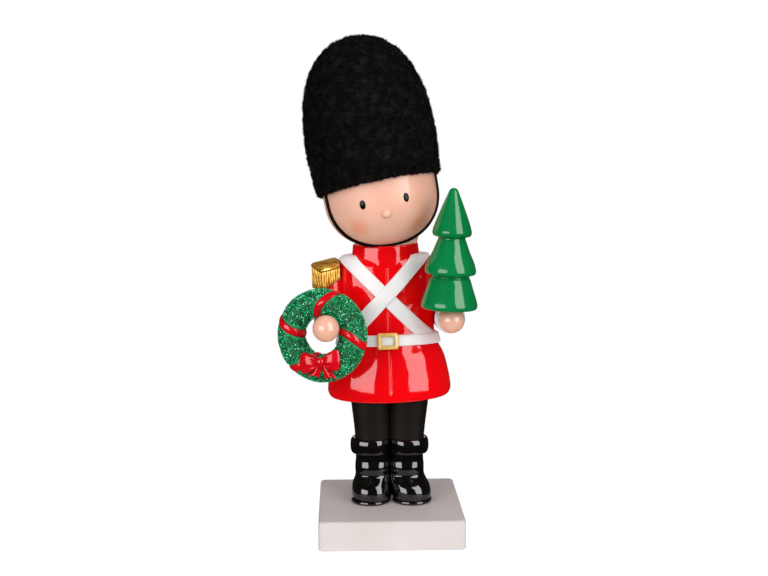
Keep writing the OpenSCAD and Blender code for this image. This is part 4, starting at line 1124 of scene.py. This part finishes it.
def bow_loop(side, reach, drop, lift):
    rings, marks = [], []
    for s, tall, thick in smooth(LOOP, 4):
        ring, row = [], []
        for across, front in circle(48):
            v = bent(across, 0.8)
            near = math.exp(-(s / 0.38) ** 2)
            fold = 0.55 * math.cos(2.4 * math.pi * v + 0.6) * near * max(0, front)
            bulge = 0.9 * (1 - v * v) * s
            ring.append((side * (0.4 + (reach - 0.4) * s + bulge),
                         -thick * bent(front, 0.45) * 0.95 - fold - 0.6,
                         drop + lift * s + v * tall))
            # The mark gives painted shade at the loop's edges and far end, and over its whole
            # back.
            row.append(max(abs(v) ** 7, s ** 14) if front > -0.2 else 1)
        rings.append(ring)
        marks.append(row)
    return skin(rings, False, marks)


def bow_tail(points, width_in, width_out):
    rings = []
    for k, (x, z) in enumerate(smooth(points, 6)):
        share = k / (6 * (len(points) - 1))
        wide = width_in + (width_out - width_in) * share
        notch = 1.7 * share ** 8 * 1.3 if share > 0.5 else 0
        rings.append([(x + u * wide, -0.2 - 0.75 * s - 0.3 * math.cos(2.5 * u * math.pi / 2),
                       z + notch * (1 - abs(u))) for u, s in circle(28)])
    # Painted shade: the tail's mark darkens it towards both edges.
    return skin(rings, False, [[abs(u) ** 4 for u, s in circle(28)]] * len(rings))


knot = turned(smooth(KNOT, 4), 32)
knot = ([(x, y * 0.75 - 2.0, z * 1.05) for x, y, z in knot[0]], *knot[1:])
bow = make_piece("bow", [bow_loop(-1, 11.2, -0.4, -0.6), bow_loop(1, 10.0, 0.3, 1.0), knot,
                         bow_tail([(-1.0, -1.0), (-2.6, -4.2), (-4.6, -8.6)], 1.6, 3.6),
                         bow_tail([(1.0, -1.0), (3.2, -4.6), (5.6, -9.4)], 1.6, 3.5)],
                 wreath_frame @ shift(2.6, -7.9, -13.3), ribbon_paint, 60, "edge")
seat(bow, "ribbon_paint", "wreath_bow")

# %% [markdown]
# ## Epaulettes
# A sloped plate with a raised border sits on the shoulder, and fine cords hang from its edge.
# The plate and the core are lofted and trimmed where the tunic's side is. Each cord is one
# line of points with a thickness, and a node tree turns all lines into rounded cords at
# once. A mark of how far each point stands out keeps the crests bright and gives the deeper
# parts painted shade; the core behind the cords is all painted shade.

# %% Shape the plates
PAD_L, PAD_D, PAD_T, FRINGE, ARM_FLAT, CORDS_FROM, CORD_R = 13.4, 14.6, 2.2, 12.5, 25.55, 26.3, 0.7
pad_frame = shift(32.07, -PAD_D / 12, 153.7) @ turn("Z", -21)
pad_tilt = turn("Y", 10) @ turn("X", 7)
# The third column is the crest mark; its low values give painted shade in the border's groove.
PLATE = [(0.5, -2.2, 0.1), (0.1, -2.1, 0.3), (0, -1.8, 0.9), (0.12, -1.3, 1), (0.5, -0.75, 1),
         (1.1, -0.32, 1), (1.9, -0.08, 1), (2.1, -0.28, 0.05), (2.3, -0.1, 0.7), (3.2, 0.02, 1),
         (5.0, 0.12, 1)]


def trimmed(piece, side):
    work = bmesh.new()
    work.from_mesh(piece.data)
    inner = (MM @ lean) @ Vector((side * ARM_FLAT, 0, 150))
    way = (lean.to_3x3() @ Vector((side, 0, 0))).normalized()
    everything = work.verts[:] + work.edges[:] + work.faces[:]
    cut = bmesh.ops.bisect_plane(work, geom=everything, plane_co=inner, plane_no=way,
                                 clear_inner=True)
    rims = [e for e in cut["geom_cut"] if isinstance(e, bmesh.types.BMEdge)]
    bmesh.ops.holes_fill(work, edges=rims)
    work.to_mesh(piece.data)
    work.free()
    return piece


def gilded(name, side, shape, place):
    return trimmed(make_piece(name, [shape], place, gold_paint, 50, "crest"), side)


print("plate sections:", len(PLATE))


# %% Run the cords
def under_plate(x, y):
    return -0.1763 * x + 0.1247 * y - PAD_T - 0.1


def fringe_foot(x):
    return -FRINGE - PAD_T + max(0, (PAD_L * 0.45 - x)) * math.tan(math.radians(28))


def cords(name, place):
    lines = [(-6.7 + (i + 0.5) * 1.34, y) for i in range(10) for y in (-7.3, 7.3)]
    lines += [(6.75, -7.3 + (j + 0.5) * 1.327) for j in range(11)]
    keep = [(x, y) for x, y in lines if abs((pad_frame @ Vector((x, y, 0))).x) > CORDS_FROM]
    points, edges, thick = [], [], []
    for k, (x, y) in enumerate(keep):
        top = under_plate(x, y) + 0.15
        long = top - (fringe_foot(x) + 0.3 * noise.noise(Vector((k * 3.7, 0, 0))))
        levels = [(0, 0.05), (0.25, 0.42), (0.6, 0.62), (1.0, CORD_R)]
        levels += [(1.0 + (long - 2.0) * n / 4, CORD_R) for n in range(1, 5)]
        levels += [(long - 0.45, 0.62), (long - 0.15, 0.42), (long, 0.05)]
        for n, (down, r) in enumerate(levels):
            if n:
                edges.append((len(points) - 1, len(points)))
            points.append((x + 0.08 * math.sin(down * 0.6 + k * 1.9), y, top - down))
            thick.append(r * 0.001)
    mesh = bpy.data.meshes.new(name)
    mesh.from_pydata([MM @ place @ Vector(p) for p in points], edges, [])
    mesh.attributes.new("thick", "FLOAT", "POINT").data.foreach_set("value", thick)
    recipe = Recipe("cord_recipe", Sides=10, Finish=gold_paint)
    lines = recipe.node("GeometryNodeMeshToCurve", {"Mesh": recipe.base})
    ring = recipe.node("GeometryNodeCurvePrimitiveCircle",
                       {"Resolution": recipe["Sides"], "Radius": 1.0})
    return recipe.serve(put(name, mesh), recipe.node(
        "GeometryNodeCurveToMesh",
        {"Curve": lines, "Profile Curve": ring, "Fill Caps": True,
         "Scale": recipe.named("thick")}))


print("fringe foot in millimetres:", round(fringe_foot(0), 2))


# %% Hang the cords round a core
def fringe(name, side, place):
    outline = rounded_ring((PAD_L / 2, PAD_D / 2), (0.8, 0, 0), 0, 0, 3)
    rings = [[(x, y, under_plate(x, y) + 0.6) for x, y, _ in outline],
             [(x, y, fringe_foot(x) + 0.5) for x, y, _ in outline]]
    core = gilded(name, side, skin(rings), place)
    ropes = cords(name + "_cords", place)
    back = (MM @ place).inverted()
    work = bmesh.new()
    work.from_mesh(ropes.data)
    # Painted shade: each cord turns brown on its side that faces the core, and the core, with no
    # mark, stays brown.
    depth = work.verts.layers.float.new("crest")
    for v in work.verts:
        p = back @ v.co
        out_of = max(abs(p.x) - PAD_L / 2 if p.x > 0 else -9, abs(p.y) - PAD_D / 2)
        v[depth] = min(max(out_of / 0.62, 0), 1)
    work.from_mesh(core.data)
    work.to_mesh(core.data)
    work.free()
    bpy.data.objects.remove(ropes)
    core.data.shade_smooth()
    core.data.set_sharp_from_angle(angle=math.radians(50))
    print(name, "faces:", len(core.data.polygons))
    return core


for end, side in SIDES:
    place = lean @ on_side(side) @ pad_frame
    plate = framed((7.9, 8.5), (1.6, 0.4, 0.4), PLATE)
    seat(gilded("epaulette_plate_" + end, side, plate, place @ pad_tilt),
         "gold_paint", "epaulette_pad_" + end)
    seat(fringe("epaulette_cords_" + end, side, place), "gold_paint", "epaulette_fringe_" + end)

# %% [markdown]
# ## Bearskin hat
# A turned dome carries the flock, and its lower edge is tipped to the face. Hair curves
# would be heavy and would not bake, so a node tree plants some eighty thousand three-sided
# fibres on it, each tipped a little at random and taller in the tufts.

# %% Turn the hat's dome
HAT_R, HAT_H, PILE_IN, RIM_REACH = 36.2, 82.2, 0.7, 33.8
HAT_SHARES = [(0.925, -0.094), (0.945, -0.021), (0.967, 0.028), (0.978, 0.077), (0.986, 0.175),
              (1, 0.273), (0.992, 0.371), (0.973, 0.469), (0.942, 0.567), (0.886, 0.665),
              (0.801, 0.763), (0.736, 0.812), (0.66, 0.861), (0.553, 0.91), (0.384, 0.96),
              (0.2, 0.988), (0.001, 1)]
hat_table = sorted((z, r) for r, z in smooth([(r * HAT_R, FACE_H + z * HAT_H)
                                              for r, z in HAT_SHARES], 6))
rim_way = (turn("Y", -2) @ turn("X", -7)).to_3x3() @ Vector((0, 0, 1))


def hat_ring(share, inset, rise):
    ring = []
    for c, s in circle(144):
        low = FACE_H - (rim_way.x * (RIM_REACH * c) + rim_way.y * (RIM_REACH * s)) / rim_way.z
        z = low + rise + (FACE_H + HAT_H - PILE_IN - low) * share
        r = between(hat_table, z + (PILE_IN if share > 0.5 else 0) * share) - PILE_IN - inset
        ring.append((max(r, 0.05) * c, max(r, 0.05) * s, z))
    return ring


hat_rows = [(0, 2.6, 0.35), (0, 1.1, 0.4), (0, 0.4, 0.7), (0, 0.1, 1.3)]
hat_rows += [(math.sin(math.pi / 2 * k / 44), 0, 2.0 * (1 - k / 44)) for k in range(1, 45)]
dome = make_piece("hat_dome", [skin([hat_ring(*row) for row in hat_rows])], head_frame, flock, 180)

# %% Plant the flock
recipe = Recipe("flock_recipe", Density=3900000.0, Length=0.0014, Seed=3, Finish=flock)
points = recipe.node("GeometryNodeDistributePointsOnFaces",
                     {"Mesh": recipe.base, "Density": recipe["Density"], "Seed": recipe["Seed"]},
                     distribute_method="RANDOM")
fibre = recipe.node("GeometryNodeMeshCone",
                    {"Vertices": 3, "Radius Top": 0.0, "Radius Bottom": 0.0002,
                     "Depth": recipe["Length"]}, fill_type="NONE")
tipped = recipe.node("FunctionNodeRotateRotation",
                     {0: points.other("Rotation"),
                      1: recipe.random((-0.5, -0.5, 0), (0.5, 0.5, 6.3), 5)},
                     rotation_space="LOCAL")
tufts = recipe.node("ShaderNodeTexNoise", {"Scale": 330.0, "Detail": 2.0})
tufted = recipe.node("ShaderNodeMapRange",
                     {"Value": tufts, "From Min": 0.36, "From Max": 0.64, "To Min": 0.35,
                      "To Max": 1.35})
height = recipe.node("ShaderNodeCombineXYZ", {"X": 1.0, "Y": 1.0, "Z": tufted})
size = recipe.node("ShaderNodeVectorMath",
                   {0: recipe.random((0.8, 0.8, 0.45), (1.2, 1.2, 1.15), 6), 1: height},
                   operation="MULTIPLY")
pile = recipe.plant(points, fibre, tipped, size)
seat(recipe.serve(dome, recipe.join(pile, recipe.base)), "flock", "bearskin_hat")

# %% List nodes without a finish
for node_name, node_object in frame["nodes"].items():
    if len(node_object.data.materials) == 0:
        print("no finish on", node_name)
